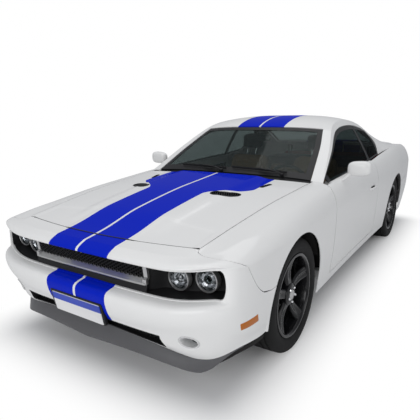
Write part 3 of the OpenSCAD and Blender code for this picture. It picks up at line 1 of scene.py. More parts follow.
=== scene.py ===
# %% Load the frame
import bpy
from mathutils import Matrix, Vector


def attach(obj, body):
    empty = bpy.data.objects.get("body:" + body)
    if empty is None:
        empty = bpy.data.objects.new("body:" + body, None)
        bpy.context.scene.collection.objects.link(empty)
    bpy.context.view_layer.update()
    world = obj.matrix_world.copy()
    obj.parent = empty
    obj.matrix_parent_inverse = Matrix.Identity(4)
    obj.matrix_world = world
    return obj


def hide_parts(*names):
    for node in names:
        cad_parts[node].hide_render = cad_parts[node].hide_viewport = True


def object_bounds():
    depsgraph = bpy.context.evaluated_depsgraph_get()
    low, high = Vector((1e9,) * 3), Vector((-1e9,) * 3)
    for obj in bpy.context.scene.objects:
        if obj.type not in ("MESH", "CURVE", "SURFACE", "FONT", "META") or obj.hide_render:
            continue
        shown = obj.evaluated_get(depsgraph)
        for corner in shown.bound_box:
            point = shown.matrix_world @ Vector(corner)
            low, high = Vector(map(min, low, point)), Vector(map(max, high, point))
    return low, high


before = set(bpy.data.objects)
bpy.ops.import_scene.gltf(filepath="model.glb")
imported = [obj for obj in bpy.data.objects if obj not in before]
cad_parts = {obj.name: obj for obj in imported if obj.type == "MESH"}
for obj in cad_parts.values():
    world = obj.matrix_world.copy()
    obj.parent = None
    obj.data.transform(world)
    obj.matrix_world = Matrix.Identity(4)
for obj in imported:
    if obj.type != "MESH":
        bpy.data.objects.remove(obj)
cad_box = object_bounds()

import math

import bmesh
import bpy
import numpy as np
from mathutils import Euler, Matrix, Vector

# %% [markdown]
# ## Sizes
# The car lies along X with its nose at +X, its left side at +Y and the ground at Z = 0. The tables below
# are worked in millimetres, as a body shop would, and MM turns them into Blender's metres.

# %% Main sizes
MM = 0.001
CAR_L, CAR_W, CAR_H = 5023.0, 1923.0, 1450.0
HALF_W = CAR_W / 2
FRONT_X, REAR_X = 1566.5, -1379.5
AXLE_Z, WHEEL_Y, TYRE_W, RIM_W = 364.0, 800.0, 245.0, 222.0
ARCH_R, ARCH_SPACE = 400.0, 14.0
SKIN, WALL, LID_SKIN, ROOF_SKIN, PANE = 5.0, 4.0, 16.0, 18.0, 5.0
DOOR_X, DOOR_END = 880.5, -469.5
SHUT, SEAM = 6.0, 0.5
AXLES, SIGNS, OVERHANGS = (FRONT_X, REAR_X), (1, -1), (945.0, 1132.0)
CAPS = tuple(AXLES[e] + SIGNS[e] * (ARCH_R + ARCH_SPACE) for e in (0, 1))
print("length", CAR_L, "width", CAR_W, "height", CAR_H, "mm")

# %% [markdown]
# ## A socket that can be reckoned with
# A material is a net of nodes. Wrapping a socket in a small class lets a mask be written as a sum, and
# one method makes every other node, with its settings first and its sockets after.


# %% Sockets as sums
class Wire:
    """One socket of a node tree."""

    def __init__(self, tree, socket=None):
        self.tree, self.socket = tree, socket

    def node(self, kind, sockets=None, out=0, **settings):
        made = self.tree.nodes.new(kind)
        for key, value in settings.items():
            setattr(made, key, value)
        for key, value in (sockets or {}).items():
            if isinstance(value, Wire):
                self.tree.links.new(value.socket, made.inputs[key])
            else:
                made.inputs[key].default_value = value
        return Wire(self.tree, made.outputs[out] if len(made.outputs) else None)

    def out(self, key):
        return Wire(self.tree, self.socket.node.outputs[key])

    def maths(self, operation, a, b=0.0):
        return self.node("ShaderNodeMath", {0: a, 1: b}, operation=operation)

    def __add__(self, other): return self.maths("ADD", self, other)
    def __sub__(self, other): return self.maths("SUBTRACT", self, other)
    def __rsub__(self, other): return self.maths("SUBTRACT", other, self)
    def __mul__(self, other): return self.maths("MULTIPLY", self, other)
    def __gt__(self, other): return self.maths("GREATER_THAN", self, other)
    def __lt__(self, other): return self.maths("LESS_THAN", self, other)
    def __abs__(self): return self.maths("ABSOLUTE", self)


def start_finish(name):
    material = bpy.data.materials.new(name)
    material.use_nodes = True
    material.node_tree.nodes.clear()
    wire = Wire(material.node_tree)
    return material, wire, wire.node("ShaderNodeTexCoord", out="Object")


def grain(wire, place, scale, detail=2.0):
    return wire.node("ShaderNodeTexNoise", {"Vector": place, "Scale": scale, "Detail": detail}, out="Fac")


def blend(wire, mask, low, high):
    return wire.node("ShaderNodeMix", {0: mask, 6: low, 7: high}, out=2, data_type="RGBA")


def ramp(wire, value, low, high):
    return wire.node("ShaderNodeMapRange", {"Value": value, "From Min": low, "From Max": high},
                     interpolation_type="SMOOTHSTEP")


def close_finish(wire, sockets, height=None, strength=0.1, distance=0.001):
    if height is not None:
        relief = {"Strength": strength, "Distance": distance, "Height": height}
        sockets["Normal"] = wire.node("ShaderNodeBump", relief)
    shader = wire.node("ShaderNodeBsdfPrincipled", sockets)
    wire.node("ShaderNodeOutputMaterial", {"Surface": shader})


# %% [markdown]
# ## Paint
# The shell is pearl white with a pair of blue stripes from the nose over the hood, roof and deck. The
# stripes are a mask on Object coordinates, so they run through every panel without a break and stay put
# when a lid opens. Fine grain stands for the pearl flakes under a clear coat.

# %% Pearl paint with stripes
STRIPE_OUT, STRIPE_IN, STRIPE_FOOT = 0.240, 0.009, 0.40
FLARE_FROM, FLARE_TO, FLARE_END, FLARE = 1.60, 1.31, 0.9, 0.255
WHITE, BLUE = (0.76, 0.76, 0.745, 1), (0.002, 0.016, 0.48, 1)


def make_paint():
    material, wire, place = start_finish("pearl_paint")
    axes = wire.node("ShaderNodeSeparateXYZ", {0: place})
    x, y, z = axes, abs(axes.out("Y")), axes.out("Z")
    flare = ramp(wire, x, FLARE_FROM, FLARE_TO) * (x > FLARE_END) * FLARE
    stripe = (y < flare + STRIPE_OUT) * (y > STRIPE_IN) * (z > STRIPE_FOOT)
    flakes = grain(wire, place, 1800.0, 1.0)
    white = blend(wire, flakes * 0.5, WHITE, (0.86, 0.86, 0.87, 1))
    blue = blend(wire, flakes * 0.4, BLUE, (0.003, 0.022, 0.54, 1))
    close_finish(wire, {"Base Color": blend(wire, stripe, white, blue), "Roughness": 0.42 - stripe * 0.1,
                        "Coat Weight": 0.60 - stripe * 0.42, "Coat Roughness": 0.05, "Specular IOR Level": 0.0})
    return material


PAINT = make_paint()
print("paint:", PAINT.name)


# %% [markdown]
# ## Other finishes
# Each has the grain that its real counterpart shows: moulded plastic is pebbled, rubber is dull, cast
# metal is rough, leather is creased and brushed steel is finely grained.

# %% Plain finishes
def make_plain(name, colour, other, scale, rough, spread=0.1, metallic=0.0, coat=0.0, bump=0.0, distance=0.0006):
    material, wire, place = start_finish(name)
    speck = grain(wire, place, scale, 3.0)
    cloud = grain(wire, place, 9.0, 2.0)
    sockets = {"Base Color": blend(wire, speck * 0.6 + cloud * 0.4, colour + (1,), other + (1,)),
               "Roughness": cloud * spread + (rough - spread / 2), "Metallic": metallic, "Coat Weight": coat,
               "Coat Roughness": 0.05, "Specular IOR Level": 0.18}
    close_finish(wire, sockets, speck if bump else None, bump, distance)
    return material


GLOSS_BLACK = make_plain("gloss_black", (0.005, 0.005, 0.006), (0.010, 0.010, 0.011), 900.0, 0.20, 0.06, coat=0.35)
SATIN_BLACK = make_plain("satin_black", (0.010, 0.010, 0.011), (0.020, 0.020, 0.021), 700.0, 0.42, bump=0.12)
DARK_LINER = make_plain("dark_liner", (0.010, 0.010, 0.010), (0.022, 0.021, 0.020), 260.0, 0.8, bump=0.3)
CHIN_GREY = make_plain("chin_grey", (0.085, 0.085, 0.09), (0.12, 0.12, 0.125), 1100.0, 0.42, bump=0.08)
SILVER = make_plain("satin_silver", (0.46, 0.46, 0.46), (0.55, 0.55, 0.55), 1300.0, 0.30, metallic=0.85, bump=0.04)
CHROME = make_plain("chrome", (0.80, 0.81, 0.82), (0.86, 0.86, 0.87), 60.0, 0.08, 0.04, metallic=1.0)
CAST = make_plain("cast_metal", (0.20, 0.20, 0.21), (0.30, 0.30, 0.31), 420.0, 0.55, metallic=0.75, bump=0.35)
UNDER = make_plain("underbody", (0.020, 0.020, 0.021), (0.045, 0.044, 0.043), 300.0, 0.7, bump=0.3)
STEEL = make_plain("brushed_steel", (0.42, 0.42, 0.42), (0.56, 0.55, 0.54), 800.0, 0.34, metallic=0.95, bump=0.1)
RUBBER = make_plain("tyre_rubber", (0.010, 0.010, 0.010), (0.019, 0.019, 0.019), 600.0, 0.75, 0.16, bump=0.2)
DASH_SKIN = make_plain("dash_skin", (0.010, 0.010, 0.011), (0.018, 0.018, 0.019), 1500.0, 0.55, bump=0.3)
AMBER = make_plain("amber_lens", (0.40, 0.105, 0.006), (0.50, 0.15, 0.010), 400.0, 0.3, coat=0.15)
# Pale grey for the fog lamp cups and bowls: partly their silver finish, partly painted reflection that keeps them
# bright where chrome would look dark under the dim sky.
LAMP_SILVER_AND_PAINTED_REFLECTION = make_plain("lamp_silver_painted_reflection", (0.66, 0.66, 0.66), (0.76, 0.76, 0.76), 200.0, 0.22, metallic=0.35,
                         coat=0.3)
TAIL_RED = make_plain("tail_red", (0.32, 0.006, 0.008), (0.42, 0.010, 0.012), 300.0, 0.18, coat=0.8)
TAN = make_plain("tan_leather", (0.40, 0.235, 0.125), (0.50, 0.31, 0.18), 520.0, 0.48, bump=0.35)
DARK_LEATHER = make_plain("dark_leather", (0.016, 0.015, 0.015), (0.030, 0.029, 0.028), 520.0, 0.5, bump=0.35)


def make_glass(name, tint, clear, shine):
    material, wire, place = start_finish(name)
    haze = grain(wire, place, 4.0, 1.0)
    seen = wire.node("ShaderNodeBsdfTransparent", {"Color": tint})
    pane = wire.node("ShaderNodeBsdfPrincipled", {
        "Base Color": (0.02, 0.025, 0.025, 1), "Roughness": haze * 0.01 + 0.02, "Coat Weight": 0.0,
        "Specular IOR Level": shine})
    edge = wire.node("ShaderNodeFresnel", {"IOR": 1.45})
    mixed = wire.node("ShaderNodeMixShader", {0: edge * shine + (1 - clear), 1: seen, 2: pane})
    wire.node("ShaderNodeOutputMaterial", {"Surface": mixed})
    return material


WINDSHIELD_GLASS = make_glass("windshield_glass", (0.90, 0.95, 0.94, 1), 0.98, 0.6)
DARK_GLASS = make_glass("dark_glass", (0.40, 0.44, 0.44, 1), 0.97, 0.12)
LENS = make_glass("clear_lens", (0.93, 0.94, 0.95, 1), 0.95, 0.5)
print("finishes:", len(bpy.data.materials))

# %% [markdown]
# ## Pieces from grids
# Body panels are swept surfaces, so each is worked out as a grid of points and then given a thickness.
# The helper below makes the closed shell, and another joins a left piece to its mirror image.


# %% Shells
def mix(a, b, t):
    return a + (b - a) * t


def ease(t):
    c = np.clip(t, 0, 1)
    return c * c * (3 - 2 * c)


def spread(*axes):
    return np.meshgrid(*axes, indexing="ij")


def full_turn(count):
    return np.linspace(0, 2 * np.pi, count, endpoint=False)


def facing(grid):
    along = np.gradient(grid, axis=0)
    across = np.gradient(grid, axis=1)
    way = np.cross(along, across)
    return way / np.maximum(np.linalg.norm(way, axis=-1, keepdims=True), 1e-9)


def shell(grid, depth, keep=None, inner=None):
    """Closed shell on an outer grid: points and faces, with the unkept cells left open."""
    columns, rows = grid.shape[:2]
    inner = grid - depth * facing(grid) if inner is None else inner
    keep = np.ones((columns - 1, rows - 1), bool) if keep is None else keep
    under = columns * rows
    wide = np.zeros((columns + 1, rows + 1), bool)
    wide[1:-1, 1:-1] = keep
    faces = []
    for i, j in zip(*np.nonzero(keep)):
        a = int(i * rows + j)
        b, c, d = a + rows, a + rows + 1, a + 1
        faces += [(a, b, c, d), (a + under, d + under, c + under, b + under)]
        if not wide[i, j + 1]:
            faces.append((a, d, d + under, a + under))
        if not wide[i + 2, j + 1]:
            faces.append((c, b, b + under, c + under))
        if not wide[i + 1, j]:
            faces.append((b, a, a + under, b + under))
        if not wide[i + 1, j + 2]:
            faces.append((d, c, c + under, d + under))
    points = np.concatenate([grid.reshape(-1, 3), inner.reshape(-1, 3)])
    used = np.unique(np.concatenate([np.array(face) for face in faces]))
    renumber = np.zeros(len(points), int)
    renumber[used] = np.arange(len(used))
    return points[used], [tuple(int(renumber[k]) for k in face) for face in faces]


def joined(*meshes):
    points, faces, start = [], [], 0
    for p, f in meshes:
        points.append(np.asarray(p, float))
        faces += [tuple(k + start for k in face) for face in f]
        start += len(p)
    return np.concatenate(points), faces


def flipped(mesh):
    points, faces = mesh
    return np.asarray(points) * (1, -1, 1), [tuple(reversed(face)) for face in faces]


def as_made(mesh):
    return mesh


SIDES = (("left", as_made), ("right", flipped))


def both_sides(mesh):
    return joined(mesh, flipped(mesh))


def ringed(loops):
    """Grid of closed loops, with its first column again at the end."""
    grid = np.stack(loops, 1)
    return np.concatenate([grid, grid[:1]])


def ring_faces(rings, count):
    """Quads between neighbouring closed rings of points."""
    return [(r * count + i, r * count + (i + 1) % count, (r + 1) * count + (i + 1) % count, (r + 1) * count + i)
            for r in range(rings - 1) for i in range(count)]


def nearest(values, at):
    return int(np.argmin(np.abs(values - at)))


def at_height(line, z):
    """Point of a rising line at a height."""
    return [np.interp(z, line[:, 2], line[:, axis]) for axis in (0, 1)] + [z]


def outward(angles):
    turn = np.radians(angles)
    return np.stack([np.cos(turn), np.sin(turn), 0 * turn], -1)


# %% Pieces
def mesh_data(name, points, faces, merge, recalc=True):
    """Blender mesh with double points merged, and with its faces turned outwards unless recalc is off."""
    data = bpy.data.meshes.new(name)
    data.from_pydata(np.asarray(points, float).tolist(), [], faces)
    form = bmesh.new()
    form.from_mesh(data)
    bmesh.ops.remove_doubles(form, verts=form.verts, dist=merge)
    if recalc:
        bmesh.ops.recalc_face_normals(form, faces=form.faces)
    form.to_mesh(data)
    form.free()
    return data


def linked(name, data):
    made = bpy.data.objects.new(name, data)
    bpy.context.scene.collection.objects.link(made)
    return made


def evaluated(made):
    """Points, faces and outward ways of an object after its modifiers."""
    left = bpy.data.meshes.new_from_object(made.evaluated_get(bpy.context.evaluated_depsgraph_get()))
    points = np.array([v.co[:] for v in left.vertices])
    ways = np.array([normal.vector[:] for normal in left.vertex_normals])
    faces = [tuple(face.vertices) for face in left.polygons]
    bpy.data.meshes.remove(left)
    return points, faces, ways


def piece(name, mesh, finish, slot, *nodes, body="chassis", sharp=38, recalc=True):
    """Closed mesh in millimetres made a piece, kept inside the box of the solids."""
    points, faces = mesh
    data = mesh_data(name, np.clip(np.asarray(points) * MM, *np.array(cad_box)), faces, 1e-6, recalc)
    data.materials.append(finish)
    data.polygons.foreach_set("use_smooth", [True] * len(data.polygons))
    data.set_sharp_from_angle(angle=math.radians(sharp))
    made = linked(name, data)
    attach(made, body)
    if nodes:
        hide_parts(*nodes)
    return made


# %% [markdown]
# ## Body lines
# A few tables of shares carry the whole shape: sections of the body side, the middle line of the hood and
# deck, the profiles of the nose and tail, and the glass house. Smooth curves run through their rows.

# %% Tables of the body
SECTIONS = np.array([
    [-0.458, 0.832, 0.724, 0.962, 0.586, 0.905, 0.181], [-0.378, 0.868, 0.735, 0.986, 0.586, 0.936, 0.166],
    [-0.275, 0.884, 0.735, 1.000, 0.576, 0.962, 0.156], [-0.179, 0.886, 0.714, 0.988, 0.562, 0.941, 0.152],
    [-0.096, 0.889, 0.691, 0.978, 0.552, 0.932, 0.150], [0.000, 0.894, 0.679, 0.973, 0.547, 0.929, 0.150],
    [0.090, 0.898, 0.670, 0.976, 0.545, 0.930, 0.150], [0.179, 0.897, 0.659, 0.982, 0.543, 0.936, 0.151],
    [0.249, 0.890, 0.643, 0.988, 0.541, 0.946, 0.155], [0.312, 0.882, 0.626, 0.992, 0.539, 0.955, 0.159],
    [0.394, 0.861, 0.594, 0.986, 0.531, 0.949, 0.168], [0.478, 0.832, 0.560, 0.972, 0.514, 0.936, 0.172]])
CROWN = np.array([
    [-0.488, 0.719], [-0.458, 0.728], [-0.398, 0.740], [-0.338, 0.747], [-0.299, 0.752], [0.169, 0.693],
    [0.196, 0.688], [0.249, 0.672], [0.312, 0.652], [0.394, 0.610], [0.463, 0.564], [0.486, 0.552]])
NOSE = np.array([
    [0.00, 0.100, 0.232], [0.10, 0.066, 0.251], [0.20, 0.042, 0.284], [0.35, 0.019, 0.314], [0.48, 0.002, 0.352],
    [0.54, 0.000, 0.376], [0.58, 0.0085, 0.392], [0.61, 0.032, 0.401], [0.64, 0.082, 0.406], [0.96, 0.074, 0.514],
    [1.05, 0.049, 0.519], [1.20, 0.042, 0.526], [1.50, 0.061, 0.539], [2.00, 0.111, 0.555]])
TAIL = np.array([
    [0.00, 0.106, 0.190], [0.15, 0.053, 0.234], [0.35, 0.016, 0.310], [0.55, 0.000, 0.400], [0.64, 0.004, 0.450],
    [0.70, 0.018, 0.490], [0.74, 0.036, 0.507], [0.78, 0.060, 0.514], [1.10, 0.060, 0.621], [1.25, 0.046, 0.638],
    [1.50, 0.040, 0.659], [2.00, 0.060, 0.703]])
HOUSE = np.array([
    [0, 0.1851, 0.6897, 0.1728, 0.8500, 0.6662], [1, 0.1095, 0.8310, 0.0956, 0.7650, 0.8138],
    [2, 0.0338, 0.9607, 0.0199, 0.6600, 0.9393], [3, -0.0597, 1.0000, -0.0637, 0.6420, 0.9655],
    [4, -0.1672, 0.9655, -0.1593, 0.6400, 0.9276], [5, -0.2449, 0.8655, -0.2389, 0.6880, 0.8379],
    [6, -0.3265, 0.7531, -0.3185, 0.7644, 0.7503]])


def look(table, at, column):
    """Smooth curve through one column of a table."""
    x, y = table[:, 0], table[:, column]
    at = np.clip(np.asarray(at, float), x[0], x[-1])
    k = np.clip(np.searchsorted(x, at, side="right") - 1, 0, len(x) - 2)
    before, after = np.maximum(k - 1, 0), np.minimum(k + 2, len(x) - 1)
    step = x[k + 1] - x[k]
    low = (y[k + 1] - y[before]) / (x[k + 1] - x[before]) * step
    high = (y[after] - y[k]) / (x[after] - x[k]) * step
    t = (at - x[k]) / step
    return (y[k] * (1 - t) ** 2 * (1 + 2 * t) + low * t * (1 - t) ** 2
            + y[k + 1] * t * t * (3 - 2 * t) - high * t * t * (1 - t))


def section(x, column):
    return look(SECTIONS, np.asarray(x) / CAR_L, column) * (HALF_W if column % 2 else CAR_H)


def crown_z(x):
    return look(CROWN, np.asarray(x) / CAR_L, 1) * CAR_H


# %% Body side and lids
LID_TIP = (CAR_L / 2 - 0.196 * OVERHANGS[0], -CAR_L / 2 + 0.076 * OVERHANGS[1])
LID_BOW, LID_TIP_HALF, LID_ROOT_HALF = (56.0, 64.0), (0.718, 0.698), (0.790, 0.728)
LID_ROOT, ROOT_BOW = (DOOR_X + 84, -0.3295 * CAR_L), (58.0, 40.0)
LID_EDGE_SHARE, SIDE_TURNS, SIDE_BULGE = 0.45, (math.radians(18), math.radians(80)), 2.2
LID_CORNER = tuple(LID_TIP[e] - SIGNS[e] * LID_BOW[e] for e in (0, 1))


def lid_half(e, x):
    return HALF_W * mix(LID_TIP_HALF[e], LID_ROOT_HALF[e], (LID_CORNER[e] - x) / (LID_CORNER[e] - LID_ROOT[e]))


def lid_edge_z(x):
    return mix(section(x, 2), crown_z(x), LID_EDGE_SHARE)


def lid_z(e, x, y):
    return crown_z(x) - (crown_z(x) - lid_edge_z(x)) * (np.abs(y) / lid_half(e, x)) ** 2


def side_point(x, q):
    """Point on the body side: levels 0 sill, 1 crease, 2 shoulder, 3 lid."""
    x, q = np.broadcast_arrays(np.asarray(x, float), np.asarray(q, float))
    lean, roll = SIDE_TURNS
    a = mix(lean, roll, np.clip(q - 1, 0, 1))
    low, top = np.clip(q, 0, 1), np.clip(q - 2, 0, 1)
    turn = (math.cos(lean) - np.cos(a)) / (math.cos(lean) - math.cos(roll))
    rise = (np.sin(a) - math.sin(lean)) / (math.sin(roll) - math.sin(lean))
    half = np.where(x > 0, lid_half(0, x), lid_half(1, x))
    y = np.where(q <= 1, mix(section(x, 5), section(x, 3), 1 - (1 - low) ** SIDE_BULGE),
                 np.where(q <= 2, mix(section(x, 3), section(x, 1), turn), mix(section(x, 1), half, top)))
    z = np.where(q <= 1, mix(section(x, 6), section(x, 4), low),
                 np.where(q <= 2, mix(section(x, 4), section(x, 2), rise),
                          mix(section(x, 2), lid_edge_z(x), 1 - (1 - top) ** 2)))
    return np.stack([x, y, z], -1)


def level_of(x, z):
    return (z - section(x, 6)) / (section(x, 4) - section(x, 6))


# %% Nose and tail
POWERS, LOW_POWERS, PROFILES = (4, 5), (2.8, 3.8), (NOSE, TAIL)
CORNER_SHARE, SLOT_SHARE, LOW_DIP, LOW_RISE, LOW_REACH = 0.83, 0.90, 60.0, 66.0, 0.35
CORNER_RISE, STRAIGHT_LEVELS, SETBACKS = (34.0, 0.0), ((0.54, 1.20), (0.64, 1.25)), (3.03, 0.0)
PLATE_LEAN, PLATE_TOP = math.radians(11.548), (2504.56, 498.36)
SLOT_FADE, GRILLE_FADE = (0.86, 0.97), (0.44, 0.54)


def angle_of(e, share):
    return np.degrees(np.arcsin(np.asarray(share, float) ** (POWERS[e] / 2)))


CORNERS = tuple(float(angle_of(e, CORNER_SHARE)) for e in (0, 1))


def lid_outline(e, angle):
    turn = angle / CORNERS[e]
    x = np.where(turn <= 1, LID_TIP[e] - SIGNS[e] * LID_BOW[e] * turn ** 2,
                 mix(LID_CORNER[e], CAPS[e], (angle - CORNERS[e]) / (90 - CORNERS[e])))
    y = np.where(turn <= 1, turn * lid_half(e, LID_CORNER[e]), lid_half(e, x))
    return np.stack([x, y, lid_z(e, x, y)], -1)


def end_set(e, angle, q):
    """Setback of a level: past the slot's end it runs straight between the levels below and above."""
    low, high = STRAIGHT_LEVELS[e]
    first, last = angle_of(e, SLOT_FADE)
    away = np.where((q <= low) | (q >= high), 0, ease((angle - first) / (last - first)))
    ends = look(PROFILES[e], low, 1), look(PROFILES[e], high, 1)
    return mix(look(PROFILES[e], q, 1), mix(*ends, (q - low) / (high - low)), away)


def low_lift(e, angle, q):
    """The nose's lower edge dips under the fog lamps and rises again to the wheel."""
    if e:
        return 0 * q
    dip = -LOW_DIP * ease(angle / 45) * (1 - ease((angle - 40) / 32))
    return (1 - ease(q / LOW_REACH)) * (dip + LOW_RISE * ease((angle - 48) / 36))


def end_point(e, angle, q):
    """Point on the nose (0) or tail (1): the angle runs from the middle to the side."""
    angle, q = np.broadcast_arrays(np.asarray(angle, float), np.asarray(q, float))
    low, turn, peak = np.minimum(q, 2), np.radians(angle), float(angle_of(e, SLOT_SHARE))
    bend = 2 / mix(LOW_POWERS[e], POWERS[e], ease(low / 0.55))
    tip = SIGNS[e] * (CAR_L / 2 - SETBACKS[e] - end_set(e, angle, low) * OVERHANGS[e])
    x = CAPS[e] + (tip - CAPS[e]) * np.clip(np.cos(turn), 0, 1) ** bend
    y = side_point(CAPS[e], low)[..., 1] * np.clip(np.sin(turn), 0, 1) ** bend
    rise = (CORNER_RISE[e] * ease((angle - 20) / (peak - 20)) * (1 - ease((angle - peak) / (90 - peak)))
            * ease(low / 0.4) * (1 - ease(low - 1)))
    flank = mix(look(PROFILES[e], low, 2) * CAR_H, side_point(x, low)[..., 2], ease((angle - 20) / 70))
    z = rise + low_lift(e, angle, low) + flank
    return mix(np.stack([x, y, z], -1), lid_outline(e, angle), np.clip(q - 2, 0, 1)[..., None])


SEAM_LEVEL, SEAM_BEND, SEAM_SPACE = (0.60, 0.66), (0.55, 0.45), 4.0


def seam_q(e, angle):
    return mix(2.9, SEAM_LEVEL[e], np.clip((angle - CORNERS[e]) / (90 - CORNERS[e]), 0, 1) ** SEAM_BEND[e])


def seam_rise(e, angle, q):
    """Rise in level that spans the open seam."""
    return SEAM_SPACE * 0.02 / float(np.linalg.norm(end_point(e, angle, q + 0.02) - end_point(e, angle, q)))


# %% Glass house
PILLAR_STEPS, PILLAR_SWEEP, BELT_INSET, SIDE_BOW, ROOF_TOP = (3.8, 4.12, 4.65), 0.42, 16, 40, CAR_H - 0.6


def house_point(step, v):
    """Point on the glass house: steps run from the cowl to the deck, v across it (1 rail, 2 belt)."""
    step, v = np.broadcast_arrays(np.asarray(step, float), np.asarray(v, float))
    w, side = np.abs(v), np.where(v < 0, -1, 1)
    bend = np.interp(step, PILLAR_STEPS, [0, 1, 0])
    step = step + PILLAR_SWEEP * np.sin(np.pi * np.clip(w - 1, 0, 1) ** 0.8) * bend
    middle_x, middle_z = look(HOUSE, step, 1) * CAR_L, look(HOUSE, step, 2) * CAR_H
    rail_x, rail_y = look(HOUSE, step, 3) * CAR_L, look(HOUSE, step, 4) * HALF_W
    rail_z = look(HOUSE, step, 5) * CAR_H
    down = np.clip(w - 1, 0, 1)
    inset = mix(BELT_INSET, SEAM, ease(step - 4.3))
    x = np.where(w <= 1, mix(middle_x, rail_x, w * w), rail_x)
    y = np.where(w <= 1, v * rail_y,
                 side * (mix(rail_y, section(rail_x, 1) - inset, down) + SIDE_BOW * down * (1 - down)))
    z = np.where(w <= 1, mix(middle_z, rail_z, np.minimum(w, 1) ** 3), mix(rail_z, section(rail_x, 2) + SEAM, down))
    return np.stack([x, y, np.minimum(z, ROOF_TOP)], -1)


print("crown at the cowl:", round(float(crown_z(LID_ROOT[0]))), "mm")

# %% [markdown]
# ## Nose and tail panels
# The front panel wraps round the nose in one piece, with a long sunk mouth for the lamps and the grille and
# a low air intake. Its grid has lines on the edges of both, so the openings are clean, and deep walls are
# run back from the rim of the mouth.

# %% Fascia grids
WIDTHS = np.array([0, 0.15, 0.30, 0.43, 0.55, 0.66, 0.75, 0.83, 0.878, 0.900, 0.938, 0.966, 0.985, 0.996, 1])
SLOT_LEVELS = ((0.64, 0.96), (0.78, 1.10))
SLOT_COLUMN, SLOT_ROUND, TAIL_DEPTH, GRILLE_DEPTH, LAMP_DEPTH = 9, (5.0, 2.0), 36.0, 44.0, 128.0
INTAKE, INTAKE_SLANT = (0.06, 0.19, 5.0), (3.5, 0)


def fascia_angle(e, k, level):
    low, high = SLOT_LEVELS[e]
    off = (level - (low + high) / 2) / ((high - low) / 2)
    near = np.maximum(0, 1 - np.abs(k - SLOT_COLUMN) / 2)
    base = np.interp(k, np.arange(len(WIDTHS)), angle_of(e, WIDTHS))
    aside = np.maximum(0, 1 - np.abs(k - INTAKE[2]) / 2.5) * (1 - ease((level - INTAKE[0]) / 0.13))
    return base + aside * INTAKE_SLANT[e] + SLOT_ROUND[e] * np.sqrt(np.maximum(0, 1 - off ** 2)) * near


def fascia_level(e, angle, level):
    top_edge = SLOT_LEVELS[e][1]
    end_angle = float(angle_of(e, SLOT_SHARE))
    squeeze = mix(1, (SEAM_LEVEL[e] - 0.04) / top_edge, ease((angle - end_angle) / (90 - end_angle)))
    top = np.where(angle < CORNERS[e] - 1e-6, 3, seam_q(e, angle))
    return np.where(level <= top_edge, level * squeeze,
                    mix(top_edge * squeeze, top, (level - top_edge) / (3 - top_edge)))


def slot_way(e, angle):
    half = np.radians(np.asarray(angle, float) / 2)
    return np.stack([SIGNS[e] * np.cos(half), np.sin(half) / 2, 0 * half], -1)


def slot_depth(e, angle):
    """Depth of the mouth: shallow behind the grille and deep round the lamps."""
    first, last = angle_of(0, GRILLE_FADE)
    deep = mix(GRILLE_DEPTH, LAMP_DEPTH, ease((np.asarray(angle) - first) / (last - first)))
    return deep if e == 0 else TAIL_DEPTH + 0 * deep


def arch_edge(e, level):
    q = fascia_level(e, 90.0, level)
    z = side_point(CAPS[e], q)[..., 2] + low_lift(e, 90.0, q)
    reach = np.where(z > AXLE_Z, np.sqrt(np.maximum(0, ARCH_R ** 2 - (z - AXLE_Z) ** 2)), ARCH_R)
    x = AXLES[e] + SIGNS[e] * reach
    return side_point(x, level_of(x, z)), z


def fascia(e):
    """Columns, levels, angles and grid of the left half."""
    k = np.unique(np.concatenate([np.linspace(0, 5, 26), np.linspace(5, 9, 25), np.linspace(9, 14, 31)]).round(6))
    low, high = SLOT_LEVELS[e]
    levels = np.unique(np.concatenate([[0, 0.03], np.linspace(INTAKE[0], INTAKE[1], 5),
                                       np.linspace(INTAKE[1], low, 22), np.linspace(low, high, 17),
                                       np.linspace(high, 3, 34)]).round(6))
    kk, ll = spread(k, levels)
    angles = np.minimum(fascia_angle(e, kk, ll), 90)
    grid = end_point(e, angles, fascia_level(e, angles, ll))
    edge, z = arch_edge(e, levels)
    steps = []
    for s in (0.35, 0.7, 1.0):
        x = mix(CAPS[e], edge[:, 0], s)
        steps.append(side_point(x, level_of(x, z)))
    grid = np.concatenate([grid, np.stack(steps)])
    return k, levels, angles, grid


def mirrored(grid):
    """Whole grid across the car from its left half, from right to left."""
    other = grid[:0:-1] * (1, -1, 1)
    return np.concatenate([other, grid])


def fascia_shell(e):
    k, levels, angles, half = fascia(e)
    columns = len(half)
    mid_k = np.concatenate([(k[:-1] + k[1:]) / 2, [20.0] * (columns - len(k))])
    mid_l = (levels[:-1] + levels[1:]) / 2
    low, high = SLOT_LEVELS[e]
    open_slot = (mid_k[:, None] < SLOT_COLUMN) & (mid_l[None] > low) & (mid_l[None] < high)
    open_intake = (mid_k[:, None] < INTAKE[2]) & (mid_l[None] > INTAKE[0]) & (mid_l[None] < INTAKE[1]) & (e == 0)
    keep = ~(open_slot | open_intake)
    grid = mirrored(half)
    keep = np.concatenate([keep[::-1], keep])
    if e:
        grid, keep = grid[::-1], keep[::-1]
    return shell(grid, SKIN, keep), (k, levels, angles, half)


def slot_rim(e, parts, low, high, column):
    """Loop of points round an opening, with the ways out of it and the angles."""
    k, levels, angles, half = parts
    end, a, b = nearest(k, column), nearest(levels, low), nearest(levels, high)
    walk = [(i, a) for i in range(end)] + [(end, j) for j in range(a, b)] + [(i, b) for i in range(end, -1, -1)]
    points = np.array([half[i, j] for i, j in walk])
    turns = np.array([angles[i, j] for i, j in walk])
    ways = slot_way(e, turns)
    points = np.concatenate([points, points[::-1][1:-1] * (1, -1, 1)])
    ways = np.concatenate([ways, ways[::-1][1:-1] * (1, -1, 1)])
    return points, ways, np.concatenate([turns, turns[::-1][1:-1]])


